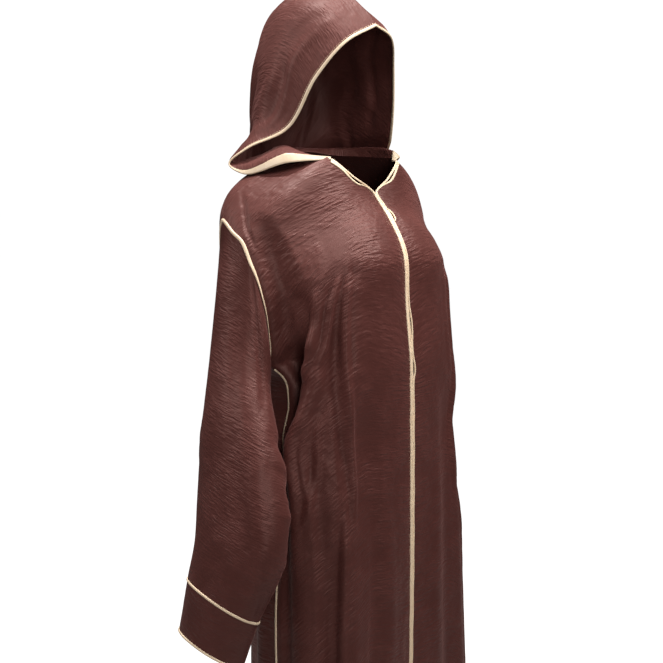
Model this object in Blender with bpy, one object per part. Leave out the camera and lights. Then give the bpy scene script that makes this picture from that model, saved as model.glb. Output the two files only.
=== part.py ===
"""A hooded abaya worn open at the throat: two fronts, one back, two dropped sleeves with cuff bands,
a two-piece hood, and the cream trim sewn along its edges and seams.

Metres, +Z up. The wearer faces -Y, so the wearer's right arm is at -X. The origin is the middle of
the neck at the height of the neck's side points, where the shoulders carry the robe.
Every piece is a thin wall on a surface that its own table of sections describes.
"""

import math

import bpy
import numpy as np

RIGHT = -1
LEFT = 1

# Cloth and trim
CLOTH = 0.0014
TRIM_THICK = 0.0024
SEAM_GAP = 0.0003
HALF_GAP = SEAM_GAP / 2
FRONT_TRIM = 0.0054
# How wide the hood's trim is at the crown, brow, temple, cheek, droop, fold, lap, throat and neck
HOOD_TRIM = (0.0062, 0.0062, 0.0062, 0.0062, 0.0064, 0.0080, 0.0110, 0.0135, 0.0090)
HOOD_LIFT = 0.0023
SEAM_TRIM = 0.0065
CLOSED_FRONT_X = 0.0004

# The small cord loop sewn beside the left front's trim, just under the foot of the throat
LOOP_RADIUS = 0.0010
LOOP_LEVEL = 0.190
LOOP_HALF_HEIGHT = 0.0105
LOOP_REACH = 0.0070
LOOP_POINTS = 11
LOOP_SIDES = 6

# Levels down the body, in metres along the cloth from the shoulder seam
UNDERARM_DOWN = 0.360
HEM_DOWN = 1.440
SIDE_TRIM_DOWN = 0.008

# Rows of each panel between its landmarks
NECK_ROWS = 4
THROAT_ROWS = 2
CHEST_ROWS = 6
SKIRT_ROWS = 15
ARM_ROWS = NECK_ROWS + THROAT_ROWS + CHEST_ROWS
PANEL_COLUMNS = 17
SLEEVE_RINGS = 13
CUFF_RINGS = 3
HOOD_ARCHES = 16
HOOD_STEPS = (3, 3, 3, 2, 3, 3, 3, 2)
HOOD_BINDING = 0.09

# Colours of the two finishes
BROWN = (0.105, 0.040, 0.030)
CREAM = (0.80, 0.64, 0.42)

# The armhole is a closed loop that stands almost upright. Its top lies on the upper arm, because the
# shoulder is dropped, and its foot is the point of the underarm.
ARMHOLE = [
    # degrees round it (0 its top, 180 its foot, minus behind), x, y, z
    (-180, 0.188, -0.038, -0.3365),
    (-160, 0.185, 0.006, -0.314),
    (-130, 0.182, 0.048, -0.256),
    (-90, 0.185, 0.064, -0.190),
    (-45, 0.198, 0.057, -0.132),
    (-18, 0.215, 0.038, -0.110),
    (0, 0.226, 0.022, -0.104),
    (22, 0.234, -0.007, -0.1225),
    (44, 0.234, -0.029, -0.139),
    (66, 0.229, -0.040, -0.170),
    (90, 0.222, -0.047, -0.206),
    (115, 0.213, -0.052, -0.246),
    (140, 0.204, -0.0505, -0.284),
    (160, 0.1965, -0.0475, -0.3135),
    (180, 0.188, -0.038, -0.3365),
]

# Sections of one front, from the shoulder seam to the hem. x is the distance out from the middle.
# down is the level. edge is the neckline or the front opening, chest and flank are the two handles
# that round the section, and armhole is the place on the armhole in degrees.
FRONT_SECTIONS = [
    # name, down, edge, chest, flank, armhole
    ("shoulder seam", 0.000, (0.088, 0.000, -0.002), (0.134, 0.004, -0.030), (0.216, 0.018, -0.044), 0),
    ("side of neck", 0.038, (0.093, -0.037, -0.004), (0.136, -0.044, -0.028), (0.204, -0.030, -0.062), 22),
    ("neck corner", 0.080, (0.084, -0.079, -0.010), (0.126, -0.086, -0.032), (0.195, -0.060, -0.082), 44),
    ("throat", 0.116, (0.044, -0.0935, -0.039), (0.100, -0.112, -0.054), (0.180, -0.080, -0.110), 64),
    ("foot of throat", 0.155, (0.000, -0.100, -0.066), (0.076, -0.145, -0.084), (0.178, -0.106, -0.140), 84),
    ("upper chest", 0.198, (0.000, -0.133, -0.108), (0.078, -0.176, -0.118), (0.176, -0.134, -0.172), 104),
    ("bust", 0.248, (0.000, -0.161, -0.162), (0.082, -0.198, -0.166), (0.172, -0.146, -0.206), 124),
    ("under bust", 0.310, (0.000, -0.168, -0.246), (0.086, -0.192, -0.250), (0.182, -0.156, -0.272), 150),
    ("underarm", UNDERARM_DOWN, (0.000, -0.177, -0.325), (0.090, -0.194, -0.327), (0.192, -0.165, -0.330), 180),
    ("below arm", 0.420, (0.000, -0.179, -0.389), (0.094, -0.195, -0.389), (0.226, -0.146, -0.390), None),
    ("waist", 0.480, (0.000, -0.180, -0.450), (0.096, -0.196, -0.450), (0.262, -0.118, -0.450), None),
    ("top of hip", 0.580, (0.000, -0.1805, -0.552), (0.098, -0.198, -0.552), (0.256, -0.142, -0.552), None),
    ("hip", 0.680, (0.000, -0.181, -0.655), (0.100, -0.200, -0.655), (0.234, -0.168, -0.655), None),
    ("knee", 0.930, (0.000, -0.180, -0.910), (0.104, -0.202, -0.910), (0.238, -0.184, -0.910), None),
    ("hem", HEM_DOWN, (0.000, -0.186, -1.420), (0.115, -0.208, -1.420), (0.264, -0.190, -1.420), None),
]

# Sections of one half of the back. edge is the neckline, then the middle of the back.
BACK_SECTIONS = [
    ("shoulder seam", 0.000, (0.088, 0.000, -0.002), (0.134, 0.004, -0.030), (0.216, 0.018, -0.044), 0),
    ("nape side", 0.040, (0.066, 0.038, 0.000), (0.126, 0.048, -0.028), (0.208, 0.048, -0.048), -18),
    ("nape", 0.085, (0.000, 0.060, 0.004), (0.084, 0.080, -0.022), (0.194, 0.082, -0.066), -42),
    ("shoulder blade", 0.150, (0.000, 0.092, -0.065), (0.086, 0.108, -0.080), (0.168, 0.104, -0.136), -76),
    ("upper back", 0.240, (0.000, 0.104, -0.160), (0.088, 0.116, -0.170), (0.168, 0.100, -0.210), -120),
    ("underarm", UNDERARM_DOWN, (0.000, 0.100, -0.325), (0.088, 0.108, -0.327), (0.178, 0.074, -0.330), -180),
    ("waist", 0.480, (0.000, 0.092, -0.450), (0.088, 0.098, -0.450), (0.190, 0.066, -0.450), None),
    ("hip", 0.680, (0.000, 0.084, -0.655), (0.090, 0.086, -0.655), (0.200, 0.038, -0.655), None),
    ("knee", 0.930, (0.000, 0.082, -0.910), (0.096, 0.082, -0.910), (0.208, 0.024, -0.910), None),
    ("hem", HEM_DOWN, (0.000, 0.088, -1.420), (0.110, 0.094, -1.420), (0.248, 0.040, -1.420), None),
]

# The side seam below the underarm
SIDE_SEAM = [
    # down, x, y, z
    (UNDERARM_DOWN, 0.188, -0.038, -0.3365),
    (0.385, 0.174, -0.055, -0.356),
    (0.420, 0.168, -0.060, -0.392),
    (0.480, 0.178, -0.058, -0.450),
    (0.570, 0.186, -0.078, -0.545),
    (0.680, 0.198, -0.064, -0.655),
    (0.930, 0.208, -0.068, -0.910),
    (HEM_DOWN, 0.236, -0.070, -1.420),
]

# Rings of a sleeve. outer and inner are the ring's points away from the body and next to it, and
# across is half its width from front to back. swing is how far its back is raised, in degrees.
# The left arm hangs further back, by the amount in left.
SLEEVE_SECTIONS = [
    # name, along, outer, inner, across, swing, left
    ("cap", 0.07, (0.244, -0.001, -0.182), (0.206, -0.035, -0.350), 0.043, 0, 0.003),
    ("biceps", 0.17, (0.262, -0.005, -0.286), (0.207, -0.035, -0.386), 0.046, 0, 0.022),
    ("elbow", 0.34, (0.296, -0.036, -0.423), (0.218, -0.044, -0.449), 0.070, 4, 0.062),
    ("forearm", 0.53, (0.314, -0.057, -0.533), (0.229, -0.059, -0.537), 0.086, 9, 0.092),
    ("wrist", 0.72, (0.326, -0.057, -0.606), (0.240, -0.057, -0.624), 0.084, 15, 0.100),
    ("cuff seam", 0.87, (0.334, -0.038, -0.675), (0.258, -0.038, -0.705), 0.069, 19, 0.090),
    ("sleeve hem", 1.00, (0.339, -0.016, -0.760), (0.265, -0.016, -0.784), 0.061, 18, 0.080),
]
CUFF_START = 0.87

# Arches of the right half of the hood, from the face edge to the middle of the back. Each runs from
# the crown seam down the side, out to the fold that lies on the shoulder, and in to the neck seam.
# along is the arch's place on the neck seam, from the neck corner at 0 to the middle of the back.
HOOD_RIGHT = [
    # name, along, crown, brow, temple, cheek, droop, fold, lap, throat
    ("face edge", 0.00, (0, -0.103, 0.203), (0.050, -0.083, 0.175), (0.082, -0.049, 0.121),
     (0.107, -0.006, 0.037), (0.150, 0.0445, 0.0055), (0.168, 0.066, -0.0175), (0.167, 0.039, -0.0335),
     (0.148, -0.042, -0.0165)),
    ("binding", 0.09, (0, -0.090, 0.221), (0.0525, -0.070, 0.191), (0.086, -0.038, 0.133),
     (0.110, 0.006, 0.046), (0.142, 0.053, 0.014), (0.157, 0.076, -0.012), (0.159, 0.045, -0.0205),
     (0.140, -0.037, -0.0015)),
    ("behind edge", 0.20, (0, -0.055, 0.252), (0.056, -0.040, 0.222), (0.094, -0.012, 0.155),
     (0.112, 0.028, 0.066), (0.129, 0.062, 0.024), (0.142, 0.086, -0.012), (0.132, 0.054, -0.010),
     (0.112, -0.010, 0.009)),
    ("crown", 0.40, (0, 0.012, 0.276), (0.060, 0.026, 0.244), (0.092, 0.044, 0.172), (0.102, 0.060, 0.088),
     (0.106, 0.074, 0.030), (0.120, 0.096, -0.014), (0.104, 0.062, -0.004), (0.088, 0.016, 0.012)),
    ("peak", 0.60, (0, 0.084, 0.268), (0.050, 0.084, 0.232), (0.078, 0.088, 0.160), (0.086, 0.092, 0.084),
     (0.086, 0.098, 0.028), (0.088, 0.110, -0.018), (0.078, 0.082, -0.006), (0.068, 0.050, 0.012)),
    ("back of head", 0.80, (0, 0.128, 0.222), (0.034, 0.122, 0.186), (0.050, 0.120, 0.128),
     (0.058, 0.118, 0.070), (0.060, 0.120, 0.018), (0.054, 0.130, -0.020), (0.046, 0.104, -0.008),
     (0.040, 0.078, 0.012)),
    ("middle of back", 1.00, (0, 0.142, 0.150), (0, 0.146, 0.120), (0, 0.148, 0.086), (0, 0.148, 0.050),
     (0, 0.146, 0.010), (0, 0.142, -0.022), (0, 0.116, -0.008), (0, 0.086, 0.012)),
]

# On the left the face edge falls further forward, so its fold is shorter.
HOOD_LEFT_EDGE = [
    ("face edge", 0.00, (0, -0.103, 0.203), (0.050, -0.096, 0.188), (0.086, -0.074, 0.144),
     (0.096, -0.066, 0.070), (0.106, -0.054, 0.026), (0.130, -0.030, -0.002), (0.122, -0.052, -0.010),
     (0.102, -0.076, -0.004)),
    ("binding", 0.09, (0, -0.090, 0.221), (0.0525, -0.083, 0.204), (0.090, -0.060, 0.154),
     (0.100, -0.052, 0.078), (0.103, -0.043, 0.036), (0.122, -0.019, 0.002), (0.110, -0.045, -0.001),
     (0.092, -0.066, 0.006)),
    ("behind edge", 0.20, (0, -0.055, 0.252), (0.056, -0.046, 0.224), (0.092, -0.030, 0.158),
     (0.106, -0.012, 0.084), (0.108, 0.004, 0.034), (0.126, 0.034, -0.002), (0.110, 0.004, 0.002),
     (0.092, -0.030, 0.012)),
]
HOOD_LEFT = HOOD_LEFT_EDGE + HOOD_RIGHT[3:]


def curve_through(keys, values, at):
    """Points at the places in at, on a smooth curve through values at keys."""
    keys = np.asarray(keys, float)
    values = np.asarray(values, float)
    at = np.clip(np.asarray(at, float), keys[0], keys[-1])
    steps = np.diff(keys)
    slopes = np.diff(values, axis=0) / steps[:, None]
    tangents = np.empty_like(values)
    tangents[0], tangents[-1] = slopes[0], slopes[-1]
    near, far = steps[:-1, None], steps[1:, None]
    tangents[1:-1] = (slopes[:-1] * far + slopes[1:] * near) / (near + far)
    span = np.clip(np.searchsorted(keys, at, side="right") - 1, 0, len(keys) - 2)
    h = steps[span][:, None]
    u = ((at - keys[span]) / steps[span])[:, None]
    return (
        (2 * u**3 - 3 * u**2 + 1) * values[span]
        + (u**3 - 2 * u**2 + u) * h * tangents[span]
        + (3 * u**2 - 2 * u**3) * values[span + 1]
        + (u**3 - u**2) * h * tangents[span + 1]
    )


def unit(vectors):
    """The vectors at length one."""
    lengths = np.linalg.norm(vectors, axis=-1, keepdims=True)
    return vectors / np.maximum(lengths, 1e-12)


def bump(x):
    """A smooth hill of height one that starts and ends at -1 and 1."""
    inside = np.clip(1 - np.asarray(x, float) ** 2, 0, 1)
    return inside**2


def ease(x, start, end):
    """Zero before start, one after end, smooth between."""
    u = np.clip((np.asarray(x, float) - start) / (end - start), 0, 1)
    return u * u * (3 - 2 * u)


def armhole_at(angles):
    """Points of the armhole at angles in degrees."""
    table = np.array(ARMHOLE)
    return curve_through(table[:, 0], table[:, 1:], angles)


def seam_facing(edge, one_way, other_way, middle):
    """Normals that the cloths on both sides of a closed seam share. They halve the angle between the two."""
    along = unit(np.roll(edge, -1, axis=0) - np.roll(edge, 1, axis=0))
    ways = []
    for way in (one_way, other_way):
        ways.append(unit(way - along * np.sum(way * along, axis=1, keepdims=True)))
    facing = unit(np.cross(along, ways[0] - ways[1]))
    if np.sum(facing * (edge - middle)) < 0:
        return -facing
    return facing


def arm_levels(landmarks):
    """Levels of the rows beside the armhole: landmarks is (level, rows to the next) pairs."""
    levels = [landmarks[0][0]]
    for (start, rows), (end, _) in zip(landmarks, landmarks[1:]):
        levels += list(np.linspace(start, end, rows + 1)[1:])
    return np.array(levels)


SKIRT_SHARES = np.linspace(0, 1, SKIRT_ROWS + 1)[1:]
SKIRT_LEVELS = UNDERARM_DOWN + (HEM_DOWN - UNDERARM_DOWN) * (0.35 * SKIRT_SHARES + 0.65 * SKIRT_SHARES**2)
SKIRT_LEVELS = np.concatenate([[UNDERARM_DOWN + SIDE_TRIM_DOWN], SKIRT_LEVELS])
FRONT_LEVELS = np.concatenate([
    arm_levels([(0, NECK_ROWS), (0.080, THROAT_ROWS), (0.155, CHEST_ROWS), (UNDERARM_DOWN, 0)]),
    SKIRT_LEVELS,
])
BACK_LEVELS = np.concatenate([
    arm_levels([(0, NECK_ROWS), (0.085, ARM_ROWS - NECK_ROWS), (UNDERARM_DOWN, 0)]),
    SKIRT_LEVELS,
])


def side_points(sections, levels):
    """The outer edge of a panel: the armhole down to the underarm, then the side seam."""
    on_arm = [(row[1], row[5]) for row in sections if row[5] is not None]
    angles = curve_through([d for d, _ in on_arm], [[a] for _, a in on_arm], levels)[:, 0]
    seam = np.array(SIDE_SEAM)
    points = curve_through(seam[:, 0], seam[:, 1:], levels)
    beside_arm = levels <= UNDERARM_DOWN
    points[beside_arm] = armhole_at(angles[beside_arm])
    return points, angles


def panel_surface(sections, levels, across):
    """Points of a panel, one row for each level and one column for each share in across."""
    keys = [row[1] for row in sections]
    edge = curve_through(keys, [row[2] for row in sections], levels)
    chest = curve_through(keys, [row[3] for row in sections], levels)
    flank = curve_through(keys, [row[4] for row in sections], levels)
    side, _ = side_points(sections, levels)
    s = np.asarray(across)[None, :, None]
    return (
        (1 - s) ** 3 * edge[:, None]
        + 3 * (1 - s) ** 2 * s * chest[:, None]
        + 3 * (1 - s) * s**2 * flank[:, None]
        + s**3 * side[:, None]
    )


def grid_facing(points, wrap=False):
    """Unit normals of a grid of points, from the run of its rows and columns."""
    if wrap:
        along = np.roll(points, -1, axis=1) - np.roll(points, 1, axis=1)
    else:
        along = np.gradient(points, axis=1)
    down = np.gradient(points, axis=0)
    return unit(np.cross(along, down))


# Folds of the front panels. A plus depth is a ridge, a minus depth a trough. across is the fold's
# place between the opening at 0 and the side at 1, at its top and at its foot.
FRONT_FOLDS = [
    # name, top, foot, across top, across foot, width top, width foot, depth top, depth foot
    ("arm crease", 0.06, 0.44, 0.84, 0.93, 0.12, 0.11, -0.004, -0.021),
    ("crease lip", 0.16, 0.60, 0.67, 0.87, 0.10, 0.09, 0.002, 0.010),
    ("flank crease", 0.56, 1.44, 0.92, 0.91, 0.05, 0.06, -0.005, -0.010),
    ("bust fall", 0.24, 1.44, 0.47, 0.50, 0.08, 0.11, 0.002, 0.012),
    ("side of fall", 0.26, 1.44, 0.63, 0.66, 0.09, 0.10, -0.003, -0.012),
    ("flank ridge", 0.40, 1.44, 0.81, 0.81, 0.08, 0.09, 0.001, 0.008),
    ("inner trough", 0.40, 1.44, 0.32, 0.33, 0.08, 0.09, -0.002, -0.010),
    ("front swell", 0.60, 1.44, 0.17, 0.17, 0.08, 0.09, 0.001, 0.008),
]
BACK_FOLDS = [
    ("blade fall", 0.20, 1.44, 0.46, 0.44, 0.12, 0.13, 0.004, 0.016),
    ("side trough", 0.24, 1.44, 0.70, 0.66, 0.10, 0.12, -0.004, -0.015),
    ("side ridge", 0.42, 1.44, 0.88, 0.86, 0.09, 0.10, 0.002, 0.010),
    ("inner trough", 0.30, 1.44, 0.22, 0.22, 0.10, 0.12, -0.003, -0.013),
    ("middle ridge", 0.36, 1.44, 0.00, 0.00, 0.08, 0.11, 0.002, 0.012),
]


def fold_depths(folds, levels, across):
    """How far each point of a panel is pushed out by the folds."""
    depth = np.zeros((len(levels), len(across)))
    for _, top, foot, at_top, at_foot, wide_top, wide_foot, deep_top, deep_foot in folds:
        share = np.clip((levels - top) / (foot - top), 0, 1)
        place = at_top + (at_foot - at_top) * share
        width = wide_top + (wide_foot - wide_top) * share
        height = deep_top + (deep_foot - deep_top) * share
        height = height * ease(levels, top - 0.04, top + 0.10)
        if foot < HEM_DOWN:
            height = height * (1 - ease(levels, foot - 0.06, foot + 0.16))
        depth += height[:, None] * bump((across[None, :] - place[:, None]) / width[:, None])
    return depth


ACROSS = np.linspace(0, 1, PANEL_COLUMNS)


def facing_out(points, facing, centre=(0, -0.05)):
    """Turns the normals so that they point away from the body's middle line."""
    out = points[..., :2] - np.array(centre)
    if np.sum(out * facing[..., :2]) < 0:
        return -facing
    return facing


def body_panels(side):
    """The front and the half back of one side, with their normals shared along the side and shoulder seams."""
    panels = []
    for sections, levels, folds in (
        (FRONT_SECTIONS, FRONT_LEVELS, FRONT_FOLDS),
        (BACK_SECTIONS, BACK_LEVELS, BACK_FOLDS),
    ):
        points = panel_surface(sections, levels, ACROSS)
        facing = facing_out(points, grid_facing(points))
        depth = fold_depths(folds, levels, ACROSS)
        depth *= (1 - ease(ACROSS, 0.93, 1.0))[None, :]
        points = points + facing * depth[..., None]
        if sections is FRONT_SECTIONS:
            points[NECK_ROWS + THROAT_ROWS:, 0, 0] = CLOSED_FRONT_X
        facing = facing_out(points, grid_facing(points))
        if sections is FRONT_SECTIONS:
            facing[NECK_ROWS + THROAT_ROWS:, 0, 0] = 0
            facing = unit(facing)
        panels.append([points, facing])
    (front, front_facing), (back, back_facing) = panels
    shared = unit(front_facing[ARM_ROWS:, -1] + back_facing[ARM_ROWS:, -1])
    front_facing[ARM_ROWS:, -1] = back_facing[ARM_ROWS:, -1] = shared
    shared = unit(front_facing[0] + back_facing[0])
    front_facing[0] = back_facing[0] = shared
    sleeve, sleeve_facing = sleeve_rings(side)
    to_body = []
    for points in (front, back):
        way = unit(points[:ARM_ROWS + 1, -2] - points[:ARM_ROWS + 1, -1])
        way[-1] = unit(points[ARM_ROWS + 1, -1] - points[ARM_ROWS, -1])
        to_body.append(way)
    to_body = np.concatenate([to_body[0], to_body[1][-2:0:-1]])
    loop = sleeve[0]
    shared = seam_facing(loop, sleeve[1] - loop, to_body, loop.mean(axis=0))
    front_facing[:ARM_ROWS + 1, -1] = shared[:ARM_ROWS + 1]
    back_facing[:ARM_ROWS + 1, -1] = np.roll(shared[::-1], 1, axis=0)[:ARM_ROWS + 1]
    sleeve_facing[0] = shared
    mirror = np.array([side, 1, 1])
    return [(points * mirror, facing * mirror) for points, facing in panels + [(sleeve, sleeve_facing)]]


def armhole_angles():
    """Angles of the points that the front and back panels have on the armhole, once round from its top."""
    _, front = side_points(FRONT_SECTIONS, FRONT_LEVELS[:ARM_ROWS + 1])
    _, back = side_points(BACK_SECTIONS, BACK_LEVELS[:ARM_ROWS + 1])
    return np.concatenate([front, back[-2:0:-1]])


def sleeve_surface(along, side):
    """Rings of one sleeve at the shares in along, from the armhole at 0 to the hem at 1, drawn for x > 0."""
    turn = np.radians(armhole_angles())
    keys = [0.0] + [row[1] for row in SLEEVE_SECTIONS]
    power = 2 / 2.2
    upright = np.sign(np.cos(turn)) * np.abs(np.cos(turn)) ** power
    sideways = np.sign(np.sin(turn)) * np.abs(np.sin(turn)) ** power
    rings = [armhole_at(armhole_angles())]
    for _, _, outer, inner, across, swing, left in SLEEVE_SECTIONS:
        outer, inner = np.array(outer), np.array(inner)
        tipped = math.radians(swing)
        forwards = np.array([0, -math.cos(tipped), -math.sin(tipped)])
        ring = (outer + inner) / 2 + upright[:, None] * (outer - inner) / 2
        ring = ring + across * sideways[:, None] * forwards
        ring[:, 1] += left if side == LEFT else 0
        rings.append(ring)
    flat = np.array(rings).reshape(len(rings), -1)
    return curve_through(keys, flat, along).reshape(len(along), -1, 3)


def sleeve_rings(side):
    """All the rings of a sleeve and its cuff, with their normals."""
    along = np.concatenate([
        [0], np.linspace(0.060, CUFF_START, SLEEVE_RINGS), np.linspace(CUFF_START, 1, CUFF_RINGS + 1)[1:],
    ])
    rings = sleeve_surface(along, side)
    facing = grid_facing(rings, wrap=True)
    if np.sum(facing * (rings - rings.mean(axis=1, keepdims=True))) < 0:
        facing = -facing
    return rings, facing


def hood_surface(arches, neck, shares):
    """Arches of half a hood at the shares along its neck seam. neck is the row of points that they end on."""
    controls = np.array([row[2:] for row in arches], float)
    keys = [row[1] for row in arches]
    flat = curve_through(keys, controls.reshape(len(arches), -1), shares)
    controls = flat.reshape(len(shares), -1, 3)
    surface = []
    for arch, foot in zip(controls, neck):
        points = np.vstack([arch, foot])
        lengths = np.linalg.norm(np.diff(points, axis=0), axis=1)
        along = np.concatenate([[0], np.cumsum(lengths**0.8)])
        places = [np.linspace(a, b, steps + 1)[:-1] for a, b, steps in zip(along, along[1:], HOOD_STEPS)]
        surface.append(curve_through(along, points, np.concatenate(places + [along[-1:]])))
    return np.array(surface)


def hood_shares():
    """Places of the arches along the neck seam: the face edge, then the rest behind its trim."""
    return np.concatenate([[0], np.linspace(HOOD_BINDING, 1, HOOD_ARCHES - 1)])


def square_way(edge, towards, wrap=False):
    """The way into the cloth from each point of its edge, square to the edge. towards is the next row."""
    if wrap:
        along = unit(np.roll(edge, -1, axis=0) - np.roll(edge, 1, axis=0))
    else:
        along = unit(np.gradient(edge, axis=0))
    way = towards - edge
    way = unit(way - along * np.sum(way * along, axis=1, keepdims=True))
    if wrap:
        way = unit(way + np.roll(way, 1, axis=0) + np.roll(way, -1, axis=0))
    return way


def move_in(points, distance, rows):
    """Moves the first column of a grid in along the cloth, for the rows given, to make room for a seam or trim."""
    step = square_way(points[rows, 0], points[rows, 1])
    points[rows, 0] += step * distance


def add_object(name, corners, faces, colour):
    """A mesh object with its own material."""
    mesh = bpy.data.meshes.new(name)
    mesh.from_pydata([tuple(map(float, c)) for c in corners], [], faces)
    mesh.update()
    mesh.shade_smooth()
    mesh.set_sharp_from_angle(angle=math.radians(50))
    material = bpy.data.materials.new(name)
    material.use_nodes = True
    surface = material.node_tree.nodes["Principled BSDF"]
    surface.inputs["Base Color"].default_value = (*colour, 1)
    surface.inputs["Roughness"].default_value = 0.45
    surface.inputs["Metallic"].default_value = 0
    mesh.materials.append(material)
    obj = bpy.data.objects.new(name, mesh)
    bpy.context.scene.collection.objects.link(obj)
    return obj


def grid_faces(rows, columns, wrap=False, start=0):
    """Four-cornered faces of a grid of points numbered row by row."""
    faces = []
    last = columns if wrap else columns - 1
    for r in range(rows - 1):
        for c in range(last):
            d = (c + 1) % columns
            faces.append((
                start + r * columns + c,
                start + r * columns + d,
                start + (r + 1) * columns + d,
                start + (r + 1) * columns + c,
            ))
    return faces


def signed_volume(corners, faces):
    """Six times the volume inside the faces: more than zero when they face outwards."""
    total = 0.0
    for face in faces:
        for second, third in zip(face[1:], face[2:]):
            total += np.dot(corners[face[0]], np.cross(corners[second], corners[third]))
    return total


def split_faces(points, faces):
    """Each four-cornered face cut in two along its shorter diagonal."""
    triangles = []
    for a, b, c, d in faces:
        if np.linalg.norm(points[a] - points[c]) <= np.linalg.norm(points[b] - points[d]):
            triangles += [(a, b, c), (a, c, d)]
        else:
            triangles += [(a, b, d), (b, c, d)]
    return triangles


def dished(points, face):
    """A four-cornered face cut in two along the diagonal that bends it inwards, so that it clears its neighbour."""
    a, b, c, d = face
    if np.dot(points[b] - points[a], np.cross(points[c] - points[a], points[d] - points[a])) > 0:
        return [(a, b, c), (a, c, d)]
    return [(a, b, d), (b, c, d)]


def wall(name, points, facing, faces, thick, colour, lift=0.0):
    """A closed wall: the faces moved out and in by half its thickness, joined round their free edges."""
    points = points.reshape(-1, 3) + facing.reshape(-1, 3) * lift
    facing = facing.reshape(-1, 3)
    count = len(points)
    corners = np.vstack([points + facing * thick / 2, points - facing * thick / 2])
    triangles = split_faces(points, faces)
    out = [np.dot(np.cross(points[b] - points[a], points[c] - points[a]), facing[a]) for a, b, c in triangles]
    if sum(out) < 0:
        triangles = [tuple(reversed(t)) for t in triangles]
    directed = {(t[i], t[(i + 1) % 3]): None for t in triangles for i in range(3)}
    closed = list(triangles)
    closed += [(a + count, c + count, b + count) for a, b, c in triangles]
    for a, b in directed:
        if (b, a) not in directed:
            closed += dished(corners, (b, a, a + count, b + count))
    return add_object(name, corners, closed, colour)


def strip(name, edge, inwards, facing, start, width, wrap=False, thick=TRIM_THICK):
    """A flat trim on the cloth's own surface, from start to start + width in from the edge."""
    points = np.stack([edge + inwards * start, edge + inwards * (start + width)])
    facing = np.stack([facing, facing])
    faces = grid_faces(2, edge.shape[0], wrap)
    lift = (thick - CLOTH) / 2
    return wall(name, points, facing, faces, thick, CREAM, lift)


def make_front(label, points, facing):
    """A front with its edge trim, from the corner of the neck to the hem, and its side seam trim."""
    points, facing = points.copy(), facing.copy()
    edge_rows = slice(NECK_ROWS, None)
    edge = points[edge_rows, 0].copy()
    inwards = square_way(edge, points[edge_rows, 1])
    edge[0] += unit(edge[1] - edge[0]) * SEAM_GAP
    strip(f"front_trim_{label}", edge, inwards, facing[edge_rows, 0], 0, FRONT_TRIM)
    move_in(points, FRONT_TRIM + SEAM_GAP, edge_rows)
    move_in(points, HALF_GAP, slice(0, NECK_ROWS))
    flip = points[:, ::-1]
    side_rows = slice(ARM_ROWS + 1, None)
    side_edge = flip[side_rows, 0].copy()
    side_in = square_way(side_edge, flip[side_rows, 1])
    side_edge[0] += unit(side_edge[1] - side_edge[0]) * SEAM_GAP
    strip(f"side_trim_{label}", side_edge, side_in, facing[side_rows, -1], HALF_GAP, SEAM_TRIM)
    move_in(flip, SEAM_TRIM + SEAM_GAP + HALF_GAP, side_rows)
    move_in(flip, HALF_GAP, slice(0, ARM_ROWS + 1))
    points[0] += unit(points[1] - points[0]) * HALF_GAP
    faces = grid_faces(*points.shape[:2])
    wall(f"front_{label}", points, facing, faces, CLOTH, BROWN)


def make_back(halves):
    """The back, cut in one piece: its two halves joined down the middle below the neckline."""
    corners, facings, faces = [], [], []
    for points, facing in halves:
        points = points.copy()
        flip = points[:, ::-1]
        move_in(flip, HALF_GAP, slice(0, ARM_ROWS + 1))
        move_in(flip, HALF_GAP, slice(ARM_ROWS + 1, None))
        move_in(points, HALF_GAP, slice(0, NECK_ROWS))
        points[NECK_ROWS, 0] += unit(points[NECK_ROWS + 1, 0] - points[NECK_ROWS, 0]) * HALF_GAP
        points[0] += unit(points[1] - points[0]) * HALF_GAP
        facing = facing.copy()
        facing[NECK_ROWS:, 0, 0] = 0
        facing = unit(facing)
        start = sum(len(c) for c in corners)
        corners.append(points.reshape(-1, 3))
        facings.append(facing.reshape(-1, 3))
        faces.append(grid_faces(*points.shape[:2], start=start))
    rows, columns = halves[0][0].shape[:2]
    count = rows * columns
    middle = {count + r * columns: r * columns for r in range(NECK_ROWS, rows)}
    second = [tuple(middle.get(i, i) for i in reversed(f)) for f in faces[1]]
    keep = [i for i in range(2 * count) if i not in middle]
    renumber = {old: new for new, old in enumerate(keep)}
    joined = [tuple(renumber[i] for i in f) for f in faces[0] + second]
    wall("back", np.vstack(corners)[keep], np.vstack(facings)[keep], joined, CLOTH, BROWN)


def make_sleeve(label, rings, facing):
    """A sleeve, its cuff band, and the trim at the armhole, the cuff seam and the sleeve's hem."""
    columns = rings.shape[1]
    down = square_way(rings[0], rings[1], wrap=True)
    strip(f"armhole_trim_{label}", rings[0], down, facing[0], HALF_GAP, SEAM_TRIM, wrap=True)
    sleeve = rings[:SLEEVE_RINGS + 1].copy()
    sleeve[0] += down * (SEAM_TRIM + SEAM_GAP + HALF_GAP)
    sleeve[-1] += square_way(sleeve[-1], sleeve[-2], wrap=True) * HALF_GAP
    faces = grid_faces(len(sleeve), columns, wrap=True)
    wall(f"sleeve_{label}", sleeve, facing[:SLEEVE_RINGS + 1], faces, CLOTH, BROWN)

    cuff = rings[SLEEVE_RINGS:].copy()
    cuff_facing = facing[SLEEVE_RINGS:]
    down = square_way(cuff[0], cuff[1], wrap=True)
    up = square_way(cuff[-1], cuff[-2], wrap=True)
    strip(f"cuff_trim_{label}", cuff[0], down, cuff_facing[0], HALF_GAP, SEAM_TRIM, wrap=True)
    strip(f"sleeve_hem_trim_{label}", cuff[-1], up, cuff_facing[-1], 0, SEAM_TRIM, wrap=True)
    cuff[0] += down * (SEAM_TRIM + SEAM_GAP + HALF_GAP)
    cuff[-1] += up * (SEAM_TRIM + SEAM_GAP)
    wall(f"cuff_{label}", cuff, cuff_facing, grid_faces(len(cuff), columns, wrap=True), CLOTH, BROWN)


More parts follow.
